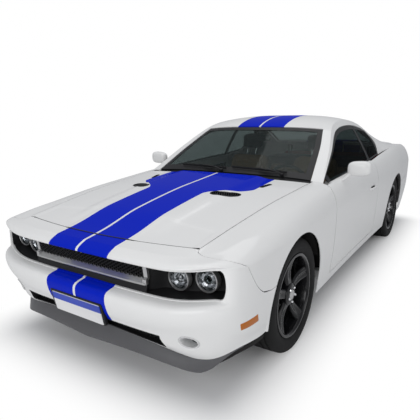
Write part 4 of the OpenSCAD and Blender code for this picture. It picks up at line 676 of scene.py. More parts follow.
def slot_walls(e, rim, steps):
    """Band of wall inside an opening: steps are (share of the depth, millimetres more, inset)."""
    points, ways, turns = rim
    to_middle = (points.mean(0) - points) * (0, 1, 1)
    to_middle /= np.linalg.norm(to_middle, axis=1, keepdims=True)
    depth = slot_depth(e, turns)[:, None]
    rings = [points - (share * depth + more) * ways + inset * to_middle for share, more, inset in steps]
    grid = ringed(rings)
    return shell(grid[::-1] if e == 0 else grid, WALL)


LIP = ((0, 0, 0), (0, 2.5, 1.2), (0, 7, 2.4), (0, 12, 2.6))
DEEP = ((0, 12, 2.6), (0.35, 8, 2.6), (0.7, 4, 2.6), (1, 0, 2.6))
front_mesh, front_parts = fascia_shell(0)
rear_mesh, rear_parts = fascia_shell(1)
front_rim = slot_rim(0, front_parts, *SLOT_LEVELS[0], SLOT_COLUMN)
rear_rim = slot_rim(1, rear_parts, *SLOT_LEVELS[1], SLOT_COLUMN)
intake_rim = slot_rim(0, front_parts, *INTAKE)
print("fascia faces:", len(front_mesh[1]), len(rear_mesh[1]))

# %% [markdown]
# Round fog lamps are let into the lower corners of the nose. A Boolean cuts their holes through the skin,
# and the same helper later opens the vents of the hood.


# %% Cut openings
def prism(outline, low, high, axis):
    """Closed prism on a loop of pairs, along the named axis."""
    loop, n = np.asarray(outline, float), len(outline)
    ends = [np.insert(loop, axis, value, axis=1) for value in (low, high)]
    return np.concatenate(ends), [tuple(range(n - 1, -1, -1)), tuple(range(n, 2 * n))] + ring_faces(2, n)


def carved(mesh, cutter):
    """Mesh with the cutter's room taken out of it."""
    solids = [linked("carving", mesh_data("carving", *part, 1e-4)) for part in (mesh, cutter)]
    cut = solids[0].modifiers.new("cut", "BOOLEAN")
    cut.object, cut.operation, cut.solver = solids[1], "DIFFERENCE", "EXACT"
    result = evaluated(solids[0])[:2]
    for solid in solids:
        bpy.data.meshes.remove(solid.data)
    return result


def oval(centre, size, count=48):
    a = full_turn(count)
    return np.asarray(centre) + np.stack([np.cos(a) * size[0], np.sin(a) * size[1]], -1)


FOG_SHARE = 0.80
FOG_LINE = end_point(0, angle_of(0, FOG_SHARE), np.linspace(0, 0.4, 200))
FOG_Z, FOG_HALF, FOG_CUT = 379.6, (43.0, 34.0), (-110, 150)
FOG_AT = np.array(at_height(FOG_LINE, FOG_Z))
fog_holes = joined(*[prism(oval((side * FOG_AT[1], FOG_Z), FOG_HALF), *(FOG_AT[0] + FOG_CUT), 0) for side in SIGNS])
front_mesh = carved(front_mesh, fog_holes)
piece("front_bumper_skin", joined(front_mesh, slot_walls(0, front_rim, LIP)), PAINT, "pearl", "front_bumper",
      recalc=False)
piece("rear_bumper_skin", joined(rear_mesh, slot_walls(1, rear_rim, LIP)), PAINT, "pearl", "rear_bumper",
      recalc=False)
piece("mouth_walls", slot_walls(0, front_rim, DEEP), SATIN_BLACK, "trim", recalc=False)
piece("tail_walls", slot_walls(1, rear_rim, DEEP), SATIN_BLACK, "trim", recalc=False)
INTAKE_WALL = ((0, 0, 0), (0, 3, 1.5), (0, 20, 2), (0, 60, 2))
piece("intake_walls", slot_walls(0, intake_rim, INTAKE_WALL), SATIN_BLACK, "trim", recalc=False)
print("fog lamps at", np.round(FOG_AT))


# %% [markdown]
# ## Fenders and quarters
# A wing runs from the end panel over the wheel arch to the door. Its columns follow the arch, so the edge
# over the wheel is a true arc.

# %% Wings
HOUSE_END = float(look(HOUSE, 6, 3) * CAR_L)
HINGE_X, SWING_R, SWING_HALF = 804.369, 96.0, 48.0
WING_EDGE = (DOOR_X + math.sqrt(SWING_R ** 2 - SWING_HALF ** 2) - (DOOR_X - HINGE_X), DOOR_END - SHUT)
WING_ROWS, WING_TOP_ROWS, LEG_SPACE = 34, 10, 10.0


def wing_levels(low):
    split = max(2.0, (low + 3) / 2)
    return np.concatenate([np.linspace(low, split, WING_ROWS), np.linspace(split, 3, WING_TOP_ROWS)[1:]])


def wing(e):
    columns = []
    for angle in np.linspace(CORNERS[e], 90, 26)[:-1]:
        q = float(seam_q(e, angle))
        columns.append(end_point(e, angle, wing_levels(q + seam_rise(e, angle, q))))
    start = SEAM_LEVEL[e] + seam_rise(e, 90.0, SEAM_LEVEL[e])
    columns.append(side_point(CAPS[e], wing_levels(start)))
    seam_z = float(side_point(CAPS[e], SEAM_LEVEL[e])[2])
    first = math.degrees(math.asin((seam_z - AXLE_Z) / ARCH_R))
    for a in np.linspace(first, 180, 61):
        x = AXLES[e] + SIGNS[e] * ARCH_R * math.cos(math.radians(a))
        low = float(level_of(x, AXLE_Z + ARCH_R * math.sin(math.radians(a)) + SEAM_SPACE))
        columns.append(side_point(x, wing_levels(low)))
    leg = AXLES[e] - SIGNS[e] * (ARCH_R + LEG_SPACE)
    for x in np.linspace(leg, WING_EDGE[e], 22):
        columns.append(side_point(x, wing_levels(0.0)))
    grid = np.stack(columns)
    keep = np.ones((grid.shape[0] - 1, grid.shape[1] - 1), bool)
    if e:
        grid = grid[::-1]
        behind = (grid[:-1, 0, 0] < HOUSE_END + 1)[:, None]
        keep &= behind | (np.arange(grid.shape[1] - 1) < WING_ROWS - 1)[None]
    return shell(grid, SKIN, keep)


piece("fender_skins", both_sides(wing(0)), PAINT, "pearl", "front_fenders", recalc=False)
piece("quarter_skins", both_sides(wing(1)), PAINT, "pearl", "rear_quarters", recalc=False)


# %% Sills
DOOR_LEVEL, SILL_IN = 0.125, 772.0


def sill():
    top = DOOR_LEVEL - SHUT / float(section(DOOR_X, 4) - section(DOOR_X, 6))
    stations = np.linspace(WING_EDGE[0] - SEAM, WING_EDGE[1] + SEAM, 40)
    x, q = spread(stations, np.linspace(0, top, 8))
    grid = side_point(x, q)
    inner = grid.copy()
    inner[..., 1] = SILL_IN
    return shell(grid, 0, None, inner)


piece("sill_skins", both_sides(sill()), PAINT, "pearl", "sills", recalc=False)


# %% [markdown]
# ## Doors
# Each door is a closed box: the painted skin outside, a trim panel inside, and shut faces all round.

# %% Doors
BELT_Y, DOOR_DEPTH, HINGE_SKIN, HINGE_ROWS = float(section(DOOR_X, 1)), 60.0, 13.0, 10


def door():
    stations = np.concatenate([np.linspace(DOOR_X, HINGE_X - 34, HINGE_ROWS),
                               np.linspace(HINGE_X - 35, DOOR_END, 60)])
    x, q = spread(stations, np.linspace(DOOR_LEVEL, 2, 44))
    grid = side_point(x, q)
    inner = grid - HINGE_SKIN * facing(grid)
    inner[HINGE_ROWS:] = grid[HINGE_ROWS:]
    inner[HINGE_ROWS:, :, 1] = BELT_Y - DOOR_DEPTH
    inner[-1, :, 0] += 4
    return shell(grid, 0, None, inner)


for word, turned in SIDES:
    piece(f"door_skin_{word}", turned(door()), PAINT, "pearl", f"door_{word}", body=f"{word}_door", recalc=False)

# %% [markdown]
# ## Hood and decklid
# The hood has a raised centre that carries the stripes. The decklid ends in a low upturned lip.

# %% Lids
HOOD_RISE, HOOD_FOLD, FOLD_X, DECK_LIP = 16.0, 3.5, 1996.0, 34.0


def lid_form(e, x, y):
    across, from_tip = np.abs(y) / lid_half(e, x), np.abs(LID_TIP[e] - x)
    if e == 0:
        w = np.abs(y)
        fold = HOOD_FOLD * ease((x - FOLD_X - 0.1 * w) / 16) * ease((w - 255) / 30) * ease((665 - w) / 30)
        rise = HOOD_RISE * (1 - ease((across - 0.46) / 0.14)) * ease((from_tip - 60) / 300)
        return lid_z(e, x, y) + rise - fold
    return lid_z(e, x, y) + DECK_LIP * (1 - ease(from_tip / 150)) * (1 - across ** 6)


def lid_grid(e, along=90, across=120):
    s, t = spread(np.linspace(0, 1, along), np.linspace(1, -1, across))
    s = 1 - s if e else s
    tip = LID_TIP[e] - SIGNS[e] * (LID_BOW[e] * t * t + SHUT)
    root = LID_ROOT[e] + SIGNS[e] * ROOT_BOW[e] * ((1 - t * t) if e == 0 else -t * t)
    x = mix(tip, root, s)
    y = t * (lid_half(e, x) - SHUT)
    return np.stack([x, y, lid_form(e, x, y)], -1)


def capsule(centre, size, turn, grow=0.0, count=28):
    """Rounded slot as a loop of pairs."""
    a = full_turn(2 * count) + 1e-3
    way = np.stack([np.cos(a), np.sin(a)], -1)
    straight = np.stack([np.sign(np.cos(a)) * (size[0] - size[1]) / 2, 0 * a], -1)
    turned = np.array([[math.cos(turn), math.sin(turn)], [-math.sin(turn), math.cos(turn)]])
    return (straight + way * (size[1] / 2 + grow)) @ turned + np.asarray(centre)


VENTS = tuple(((x, side * y), size, side * math.radians(turn)) for side in SIGNS for x, y, size, turn in (
    (1520.0, 379.8, (200.0, 76.0), 118.0), (1190.4, 515.4, (110.0, 24.0), -14.0)))
VENT_CUT = (700.0, 1150.0)
VENT_RIM = ((-1.5, -15), (-1.5, 0.8), (1.0, 2.0), (3.0, 2.0), (5.0, 1.0), (7.0, -1.5))
vent_holes = joined(*[prism(capsule(*vent), *VENT_CUT, 2) for vent in VENTS])
piece("hood_skin", carved(shell(lid_grid(0), LID_SKIN), vent_holes), PAINT, "pearl", "hood", body="front_lid",
      recalc=False)


def vent_rim(vent):
    loops = []
    for grow, lift in VENT_RIM:
        loop = capsule(*vent, grow)
        loops.append(np.concatenate([loop, (lid_form(0, loop[:, 0], loop[:, 1]) + lift)[:, None]], 1))
    return shell(ringed(loops)[::-1], 2.0)


def vent_slats(vent, pitch=15.0):
    """Slats across the slot, each leaning back."""
    (cx, cy), (long, wide), turn = vent
    made, span = [], long / 2 - wide / 2
    for at in np.arange(-long / 2 + pitch, long / 2 - pitch / 2, pitch):
        over = max(0.0, abs(at) - span)
        half = math.sqrt(max(1.0, (wide / 2) ** 2 - over ** 2))
        u, v, w = spread([-4.0, 4.0], [-half, half], [-1.2, 1.2])
        lift = -5.5 + w + u * 0.9
        x = cx + (at + u) * math.cos(turn) - v * math.sin(turn)
        y = cy + (at + u) * math.sin(turn) + v * math.cos(turn)
        corners = np.stack([x, y, lid_form(0, x, y) + lift], -1).reshape(-1, 3)
        made.append((corners, [(0, 1, 3, 2), (4, 6, 7, 5), (0, 4, 5, 1), (2, 3, 7, 6), (0, 2, 6, 4), (1, 5, 7, 3)]))
    return joined(*made)


piece("vent_rims", joined(*[vent_rim(vent) for vent in VENTS]), SATIN_BLACK, "trim", body="front_lid")
piece("vent_slats", joined(*[vent_slats(vent) for vent in VENTS]), SATIN_BLACK, "trim", body="front_lid")
piece("decklid_skin", shell(lid_grid(1), LID_SKIN), PAINT, "pearl", "decklid", body="rear_lid", recalc=False)


# %% [markdown]
# ## Roof and glass
# One grid runs over the whole glass house. The cells that are windows are left open, and the panes are cut
# from the same surface a few millimetres further in, each with a dark printed border.

# %% Roof
WIND_END, BACK_FROM, BACK_END, RAIL_IN, RAIL_OUT = 1.74, 4.12, 5.86, 0.9, 1.12


def house_grid(steps, rows):
    s, v = spread(steps, rows)
    return house_point(s, v)


def roof():
    steps = np.unique(np.concatenate([np.linspace(0, WIND_END, 28), np.linspace(WIND_END, BACK_FROM, 46),
                                      np.linspace(BACK_FROM, BACK_END, 30), [5.93, 6.0]]))
    half = np.unique(np.concatenate([np.linspace(0, RAIL_IN, 20), np.linspace(RAIL_IN, 1, 5),
                                     np.linspace(1, RAIL_OUT, 5), np.linspace(RAIL_OUT, 2, 16)]))
    rows = np.concatenate([half[::-1], -half[1:]])
    s, w = (steps[:-1] + steps[1:]) / 2, np.abs(rows[:-1] + rows[1:]) / 2
    s, w = s[:, None], w[None]
    side_open = (w > RAIL_OUT) & (s < BACK_FROM)
    top_open = (w < RAIL_IN) & ((s < WIND_END) | ((s > BACK_FROM) & (s < BACK_END)))
    return shell(house_grid(steps, rows), ROOF_SKIN, ~(side_open | top_open))


piece("roof_skin", roof(), PAINT, "pearl", "roof_and_pillars", recalc=False)


# %% Panes
def pane(name, steps, rows, border, glass, body, nodes, turned=as_made):
    """Window pane and its dark border, given in cells: front, rear, top (or left) and bottom (or right)."""
    grid = house_grid(steps, rows)
    grid = grid - 4 * facing(grid)
    if np.min(np.abs(rows)) >= 1:
        grid[..., 2] = np.maximum(grid[..., 2], section(grid[..., 0], 2) + 0.6)
    clear = np.zeros((len(steps) - 1, len(rows) - 1), bool)
    clear[border[0]:len(steps) - 1 - border[1], border[2]:len(rows) - 1 - border[3]] = True
    piece(name, turned(shell(grid, PANE, clear)), glass, "glass", *nodes, body=body, recalc=False)
    piece(f"{name}_border", turned(shell(grid, PANE, ~clear)), SATIN_BLACK, "trim", body=body, recalc=False)


def step_at(x):
    steps = np.linspace(0, 6, 4000)
    return float(np.interp(-x, -look(HOUSE, steps, 3) * CAR_L, steps))


pane("windshield_pane", np.linspace(0.035, 1.725, 40), np.linspace(0.895, -0.895, 60), (4, 3, 2, 2),
     WINDSHIELD_GLASS, "chassis", ["windshield"])
pane("rear_window_pane", np.linspace(4.135, 5.845, 34), np.linspace(0.893, -0.893, 40), (1, 1, 1, 1),
     DARK_GLASS, "chassis", ["rear_window"])
side_rows = np.linspace(1.995, 1.132, 22)
door_steps = np.linspace(0.16, step_at(DOOR_END + 1), 44)
quarter_steps = np.linspace(step_at(DOOR_END - SHUT), 4.11, 20)
for word, turned in SIDES:
    pane(f"door_pane_{word}", door_steps, side_rows, (2, 1, 1, 2), DARK_GLASS, f"{word}_door",
         [f"door_glass_{word}"], turned)
    pane(f"quarter_pane_{word}", quarter_steps, side_rows, (1, 2, 1, 2), DARK_GLASS, "chassis",
         ["quarter_glass"], turned)
print("panes from", len(door_steps), "steps")

# %% [markdown]
# ## Wheels and tyres
# A wheel is turned on its axis, so its barrel, tyre and brake disc are lathed. The five spokes are swept
# from the hub to the rim with rounded edges.


# %% Lathe
POLE = 0.01


def lathe(profile, turns=96, centre=(0, 0, 0), axis="y"):
    """Profile of (radius, along) points turned about an axis."""
    profile = np.asarray(profile, float)
    a = full_turn(turns)
    r, h = profile[:, 0][None], profile[:, 1][None]
    one, two, along = r * np.cos(a)[:, None], r * np.sin(a)[:, None], np.broadcast_to(h, (turns, len(profile)))
    grid = {"y": np.stack([one, along, two], -1), "x": np.stack([along, one, two], -1),
            "z": np.stack([one, two, along], -1)}[axis]
    points = grid.reshape(-1, 3) + np.asarray(centre, float)
    count = len(profile)
    faces = []
    for i in range(turns):
        n = (i + 1) % turns
        for j in range(count):
            m = (j + 1) % count
            faces.append((i * count + j, n * count + j, n * count + m, i * count + m))
    return points, faces


def tyre_profile():
    half, groove = TYRE_W / 2, 7.0
    side = [(258.5, 97), (267, 99), (271, 107), (276, 113), (284, 117), (296, 120.5), (310, half), (326, 121.5),
            (338, 118.5), (346, 115.5), (352, 110), (357, 104), (360.5, 97)]
    tread = [(362, 90), (362.6, 72), (362.6 - groove, 70), (362.6 - groove, 61), (363.4, 59), (363.8, 34),
             (363.8 - groove, 32), (363.8 - groove, 20), (364, 18)]
    return side + tread + [(r, -h) for r, h in reversed(side + tread)]


def spoke(turn, face, inner=34, outer=243):
    rr, cc = spread(np.linspace(inner, outer, 26), np.linspace(-1, 1, 17))
    share = (rr - inner) / (outer - inner)
    half = mix(36, 47, ease(share)) - 6 * np.sin(np.pi * share)
    edge = np.clip((np.abs(cc) - 0.62) / 0.38, 0, 1)
    groove = 5 * (1 - ease(np.abs(cc) / 0.5)) * ease((share - 0.25) / 0.2)
    dish = face + 12 - 16 * np.sin(np.pi * share) + 14 * share ** 4
    top = np.stack([rr, cc * half, dish - 14 * edge ** 2 - groove], -1)
    under = np.stack([rr, cc * half * 0.94, face - 26 + 6 * share], -1)
    points, faces = shell(top, 0, None, under)
    (x, y, z), c, s = points.T, math.cos(turn), math.sin(turn)
    return np.stack([x * c - y * s, x * s + y * c, z], -1), faces


def wheel_mesh():
    """Barrel, spokes and hub, facing +Z at the origin."""
    half = RIM_W / 2
    barrel = [(266, -half), (266, -half + 5), (257, -half + 9), (257, half - 9), (266, half - 5), (266, half),
              (262, half + 2), (250, half + 1), (245, half - 4), (240, half - 16), (239, -half + 9), (248, -half)]
    barrel = lathe(barrel[::-1], 96, axis="z")
    hub = lathe([(30.2, -27), (75, -27), (75, 66), (70, 82), (56, 90), (36, 92), (30.2, 84)][::-1], 64, axis="z")
    return joined(barrel, hub, *[spoke(math.radians(90 + 360 / SPOKES * k), SPOKE_FACE) for k in range(SPOKES)])


def stand(mesh, x, side):
    """Wheel mesh turned outwards and set on its axle."""
    points, faces = np.asarray(mesh[0]), mesh[1]
    stood = np.stack([x + points[:, 0], side * (WHEEL_Y + points[:, 2]), AXLE_Z + points[:, 1]], -1)
    return stood, (faces if side < 0 else [tuple(reversed(face)) for face in faces])


WHEELS = tuple((f"{end}_{word}", x, side) for end, x in zip(("front", "rear"), AXLES)
               for word, side in zip(("left", "right"), SIGNS))
SPOKES, SPOKE_FACE = 5, 74.0
rim, disc = wheel_mesh(), lathe([(170, -52), (170, -26), (76, -26), (76, -52)], 72, axis="z")
cap = lathe([(POLE, 100), (20, 99), (31, 95), (34, 90), (34, 84), (POLE, 84)][::-1], 48, axis="z")
tyre_points, tyre_faces = lathe(tyre_profile(), 128)
for word, x, side in WHEELS:
    body = f"{word}_wheel"
    piece(f"rim_{word}", stand(rim, x, side), GLOSS_BLACK, "rims", f"wheel_{word}", body=body)
    piece(f"disc_{word}", stand(disc, x, side), STEEL, "rims", body=body)
    piece(f"cap_{word}", stand(cap, x, side), SILVER, "rims", body=body)
    tyre = (tyre_points + (x, side * WHEEL_Y, AXLE_Z), tyre_faces)
    piece(f"tyre_{word}_tread", tyre, RUBBER, "tyres", f"tyre_{word}", body=body)

# %% [markdown]
# ## Lamps, grille and trim
# The mouth is closed by a dark panel. Four round lamps stand on it, each a chrome bowl with a clear lens,
# and a wide mesh grille fills the middle.


# %% Mouth panel
def slot_panel(e, parts, less, t):
    """Panel that closes the slot, a little in front of its full depth."""
    k, levels, angles, half = parts
    end, (a, b) = nearest(k, SLOT_COLUMN), (nearest(levels, level) for level in SLOT_LEVELS[e])
    turns = angles[:end + 1, a:b + 1]
    patch = half[:end + 1, a:b + 1] - (slot_depth(e, turns) - less)[..., None] * slot_way(e, turns)
    grid = mirrored(patch)
    return shell(grid[::-1] if e else grid, t)


piece("mouth_panel", slot_panel(0, front_parts, 2.0, 8.0), SATIN_BLACK, "trim", "grille_panel", recalc=False)
piece("tail_lens", slot_panel(1, rear_parts, 6.0, 8.0), TAIL_RED, "tail", "tail_lamps", recalc=False)

# %% Chin spoiler
chin_shares = np.concatenate([np.linspace(0, 0.9, 46), np.linspace(0.9, 0.975, 20)[1:]])
chin_angles = angle_of(0, chin_shares)
chin_top = end_point(0, chin_angles, 0.0) - (0, 0, 0.3)
chin_way = outward(chin_angles)
CHIN_DROP, CHIN_REACH = (104, 68), 34
chin_drop = mix(*CHIN_DROP, ease(chin_shares / 0.8)) * (1 - 0.9 * ease((chin_shares - 0.83) / 0.14))
chin_out = CHIN_REACH * (1 - ease((chin_shares - 0.75) / 0.2))
CHIN_ROWS = ((0.80, -1.0), (0.96, -0.985), (1.0, -0.95), (0.86, -0.72), (0.55, -0.40), (0.22, -0.14), (-0.06, 0.0))
chin_half = np.stack([chin_top + (out * chin_out)[:, None] * chin_way + (drop * chin_drop)[:, None] * (0, 0, 1)
                      for out, drop in CHIN_ROWS], 1)
piece("chin_skirt", shell(mirrored(chin_half), 8.0), CHIN_GREY, "chin", "chin_spoiler", recalc=False)
apron_angles = np.linspace(38, 90, 30)
apron_top = end_point(0, apron_angles, 0.02)
APRON_ROWS = ((16, 52), (12, 45), (10, 0))
apron = np.stack([apron_top - inset * outward(apron_angles) - (0, 0, drop) for inset, drop in APRON_ROWS], 1)
piece("nose_apron", both_sides(shell(apron, SKIN)), DARK_LINER, "trim")


# %% Side markers
MARKER_X, MARKER_Z, MARKER_CELLS = (2108, 2261), (434, 484), (24, 9)


def marker():
    """Amber lens that follows the nose ahead of the wheel."""
    turn, q = np.linspace(70, 90, 200), np.linspace(0.2, 0.6, 120)
    reach = end_point(0, turn, 0.4)[:, 0]
    columns = []
    for x in np.linspace(*MARKER_X, MARKER_CELLS[0]):
        angle = float(np.interp(-x, -reach, turn))
        line = end_point(0, angle, q)
        columns.append([at_height(line, z) for z in np.linspace(*MARKER_Z, MARKER_CELLS[1])])
    grid = np.array(columns)[::-1]
    from_end, from_foot = (np.minimum(np.arange(n), np.arange(n)[::-1]) for n in MARKER_CELLS)
    edge = np.minimum.outer(from_end, from_foot)
    return shell(grid + (np.minimum(edge, 2) * 1.6 - 0.8)[..., None] * facing(grid), 6.0)


piece("marker_lenses", both_sides(marker()), AMBER, "amber", "side_markers")

# %% [markdown]
# ## Repeats
# Honeycomb, lug nuts and the like are one unit copied onto points. A small Geometry Nodes group does the
# copying: its inputs are the unit and the finish, and each point carries its own turn.


# %% Copies on points
def copies_group():
    group = bpy.data.node_groups.new("copies", "GeometryNodeTree")
    socket = group.interface.new_socket
    socket("Points", in_out="INPUT", socket_type="NodeSocketGeometry")
    unit = socket("Unit", in_out="INPUT", socket_type="NodeSocketObject")
    finish = socket("Finish", in_out="INPUT", socket_type="NodeSocketMaterial")
    socket("Mesh", in_out="OUTPUT", socket_type="NodeSocketGeometry")
    wire = Wire(group)
    given = wire.node("NodeGroupInput")
    shape = wire.node("GeometryNodeObjectInfo", {"Object": given.out("Unit")}, out="Geometry")
    turn = wire.node("GeometryNodeInputNamedAttribute", {"Name": "turn"}, data_type="FLOAT_VECTOR")
    placed = wire.node("GeometryNodeInstanceOnPoints",
                       {"Points": given.out("Points"), "Instance": shape, "Rotation": turn})
    real = wire.node("GeometryNodeRealizeInstances", {0: placed})
    dressed = wire.node("GeometryNodeSetMaterial", {"Geometry": real, "Material": given.out("Finish")})
    wire.node("NodeGroupOutput", {0: dressed})
    return group, unit.identifier, finish.identifier


COPIES, UNIT_INPUT, FINISH_INPUT = copies_group()


def copies(points, turns, unit, finish):
    """Unit mesh set on points, with turns about X, Y and Z, as one plain mesh."""
    data, shape = bpy.data.meshes.new("points"), bpy.data.meshes.new("unit")
    data.from_pydata(np.asarray(points, float).tolist(), [], [])
    turn = data.attributes.new("turn", "FLOAT_VECTOR", "POINT")
    turn.data.foreach_set("vector", np.asarray(turns, float).ravel())
    shape.from_pydata(np.asarray(unit[0], float).tolist(), [], unit[1])
    holder, sample = linked("points", data), linked("unit", shape)
    step = holder.modifiers.new("copies", "NODES")
    step.node_group = COPIES
    step[UNIT_INPUT], step[FINISH_INPUT] = sample, finish
    bpy.context.view_layer.update()
    result = evaluated(holder)[:2]
    for mesh in (data, shape):
        bpy.data.meshes.remove(mesh)
    return result


# %% Lug nuts
nut = lathe([(POLE, 13), (5.5, 13), (8.5, 10), (9.5, 0), (POLE, 0)][::-1], 6, axis="z")
NUT_CIRCLE, NUT_SEAT = 47, 88
nut_turns = [math.radians(54 + 360 / SPOKES * k) for k in range(SPOKES)]
nut_spots = [(NUT_CIRCLE * math.cos(a), NUT_CIRCLE * math.sin(a), NUT_SEAT) for a in nut_turns]
nuts = copies(nut_spots, [(0, 0, a) for a in nut_turns], nut, CHROME)
for word, x, side in WHEELS:
    piece(f"lug_nuts_{word}", stand(nuts, x, side), CHROME, "rims", body=f"{word}_wheel")
print("lug nuts:", 4 * len(nut_turns))


# %% Nose surface and mesh
CELL_WALL, CELL_DEPTH = 2.2, 11


def nose_at(share, q, depth=0.0):
    """Point of the nose at a share of its half width, some way in."""
    angle = angle_of(0, np.abs(share))
    sign = np.stack([np.ones_like(angle), np.where(np.asarray(share) < 0, -1, 1), np.ones_like(angle)], -1)
    return (end_point(0, angle, q) - np.asarray(depth)[..., None] * slot_way(0, angle)) * sign


def honeycomb(shares, q_range, depth, size, finish):
    """Hexagonal mesh over a part of the nose."""
    half = float(nose_at(max(shares), np.mean(q_range))[1])
    spots, turns = [], []
    for i, y in enumerate(np.arange(-half + size, half - size / 2, 1.5 * size)):
        share = np.interp(y, [-half, half], [min(shares), max(shares)])
        q = np.linspace(*q_range, 40)
        line = nose_at(share, q, depth)
        heading = math.atan2(share * 0.5, 1.0)
        for z in np.arange(line[0, 2] + size * (0.9 if i % 2 else 0.05), line[-1, 2], math.sqrt(3) * size):
            spots.append(at_height(line, z))
            turns.append((0, 0, heading))
    inner = size - CELL_WALL
    unit = lathe([(size, 0), (inner, 0), (inner, -CELL_DEPTH), (size, -CELL_DEPTH)], 6, axis="x")
    return copies(spots, turns, unit, finish)


# %% [markdown]
# ## Grille and intake
# The grille stands between the lamps in a satin silver frame with a broad lower bar. A dark shelf runs from
# the bumper up to it. The same honeycomb fills the low intake.

# %% Grille
GRILLE_SHARES, GRILLE_ENDS = np.linspace(-0.47, 0.47, 61), (0.452, 0.478)


def nose_band(shares, rows, t):
    """Shell across the nose through rows of (level, depth)."""
    return shell(np.stack([nose_at(shares, q, depth) for q, depth in rows], 1), t)


LOWER_BAR = ((0.722, 12), (0.726, 6), (0.735, 4), (0.747, 5), (0.752, 9), (0.788, 27), (0.794, 32), (0.794, 41))
UPPER_BAR = ((0.958, 41), (0.958, 30), (0.966, 26), (0.974, 30), (0.974, 41))
END_ROWS = [(q, 22 if q > 0.80 else 8) for q in np.linspace(0.73, 0.968, 14)]
frame_parts = [nose_band(GRILLE_SHARES, LOWER_BAR, 3.0), nose_band(GRILLE_SHARES, UPPER_BAR, 3.0)]
for first, last in (GRILLE_ENDS, (-GRILLE_ENDS[1], -GRILLE_ENDS[0])):
    frame_parts.append(nose_band(np.linspace(first, last, 5), END_ROWS, 18.0))
piece("grille_frame", joined(*frame_parts), SILVER, "trim")
SHELF = ((0.645, 11), (0.66, 10), (0.70, 13), (0.725, 15), (0.728, 30))
shelf_shares = np.linspace(-GRILLE_ENDS[1], GRILLE_ENDS[1], 61)
piece("mouth_shelf", nose_band(shelf_shares, SHELF, WALL), SATIN_BLACK, "trim")
grille_cells = honeycomb((-0.458, 0.458), (0.80, 0.962), 25.0, 10.5, SATIN_BLACK)
intake_cells = honeycomb((-0.645, 0.645), (0.065, 0.185), 38.0, 12.0, SATIN_BLACK)
piece("grille_mesh", grille_cells, SATIN_BLACK, "trim", "grille_insert", sharp=20)
piece("intake_mesh", intake_cells, SATIN_BLACK, "trim", sharp=20)
INTAKE_BACK = [(q, 58) for q in np.linspace(0.05, 0.20, 5)]
piece("intake_back", nose_band(np.linspace(-0.68, 0.68, 41), INTAKE_BACK, WALL), DARK_LINER, "trim")

# %% [markdown]
# ## Headlamps and fog lamps
# Each headlamp is a satin bezel, a bright bowl with flat facets, a projector or a bulb shield in its middle
# and a clear domed lens. The fog lamps sit at the end of oval cups that follow the skin.

# %% Lamps
HEADLAMPS = ((2291.4, 589.0, 669.5), (2267.9, 745.3, 684.0))
LAMP_RING = [(65, 0), (65, 30), (63.5, 33.5), (60, 34), (57.5, 31), (56, 22), (60, 0)]
LAMP_BOWL = [(56.5, 24), (52, 17), (44, 11), (33, 6.5), (22, 4.5), (15, 4), (15, 1), (58, 1)]
LAMP_DOME = [(POLE, 40), (20, 38.8), (38, 35.5), (50, 31.5), (57, 28), (57, 26), (50, 29.3), (38, 33.3), (20, 36.6),
             (POLE, 37.8)]
PROJECTOR = [(POLE, 27), (9, 25.6), (16, 21.5), (20, 15), (21, 4), (POLE, 4)]
BULB_CAP = [(POLE, 21), (7, 20), (11, 17), (12, 12), (9, 4), (POLE, 4)]
RING_TRIM = [(23, 4), (26, 4), (26, 17), (24.5, 19), (23, 17)]


def lamp_part(profile, which, turns=64):
    return both_sides(joined(*[lathe(profile, turns, HEADLAMPS[k], "x") for k in which]))


piece("headlamp_rings", lamp_part(LAMP_RING, (0, 1)), SILVER, "lamps", "front_lamps")
piece("headlamp_bowls", lamp_part(LAMP_BOWL, (0, 1), 30), CHROME, "lamps", sharp=4)
piece("headlamp_projectors", lamp_part(PROJECTOR, (1,), 40), DARK_GLASS, "lamps")
piece("headlamp_caps", joined(lamp_part(BULB_CAP, (0,), 32), lamp_part(RING_TRIM, (0, 1), 48)), SILVER, "lamps")
piece("headlamp_lenses", lamp_part(LAMP_DOME, (0, 1)), LENS, "lamps")


def nose_x(pairs):
    """Distance along the car of the low nose at places (y, z)."""
    angle, q = spread(np.linspace(25, 78, 201), np.linspace(0.0, 0.5, 141))
    skin = end_point(0, angle, q).reshape(-1, 3)
    near = [np.argmin(np.sum((skin[:, 1:] - pair) ** 2, 1)) for pair in pairs]
    return skin[near, 0]


def fog_cup():
    spot, rings = FOG_AT[1:], []
    for grow, lift, fixed in ((1.16, 0.4, None), (1.12, 3.0, None), (1.03, 2.2, None), (0.985, -3.0, None),
                              (0.96, None, FOG_AT[0] - 52), (0.93, None, FOG_AT[0] - 66)):
        loop = oval(spot, np.array(FOG_HALF) * grow)
        x = nose_x(loop) + lift if fixed is None else np.minimum(fixed, nose_x(loop) - 4)
        rings.append(np.concatenate([x[:, None], loop], 1))
    return shell(ringed(rings)[::-1], 2.5)


FOG_BACK = (FOG_AT[0] - 78, FOG_AT[1], FOG_AT[2])
FOG_BOWL = [(37, 20), (33, 13), (24, 7), (13, 5), (POLE, 4.5), (POLE, 1), (38, 1)]
FOG_DOME = [(POLE, 25), (18, 23.8), (30, 21.5), (36.5, 18), (36.5, 16.5), (30, 20), (18, 22.3), (POLE, 23.5)]
# The fog cups and bowls take the pale grey finish, partly silver and partly painted reflection.
piece("fog_cups", both_sides(fog_cup()), LAMP_SILVER_AND_PAINTED_REFLECTION, "lamps")
piece("fog_bowls", both_sides(lathe(FOG_BOWL, 24, FOG_BACK, "x")), LAMP_SILVER_AND_PAINTED_REFLECTION, "lamps", sharp=4)
piece("fog_lenses", both_sides(lathe(FOG_DOME, 48, FOG_BACK, "x")), LENS, "lamps")

# %% [markdown]
# ## Number plate
# A blank plate leans with the nose on a black carrier. The carrier reaches past the plate all round, most at the
# sides and top, so its black border is partly the real bracket and partly painted shadow round the plate. The plate
# has a rolled rim and a plain blue band along its top.


# %% Plate
PLATE_BAND = (0.052, 0.006)


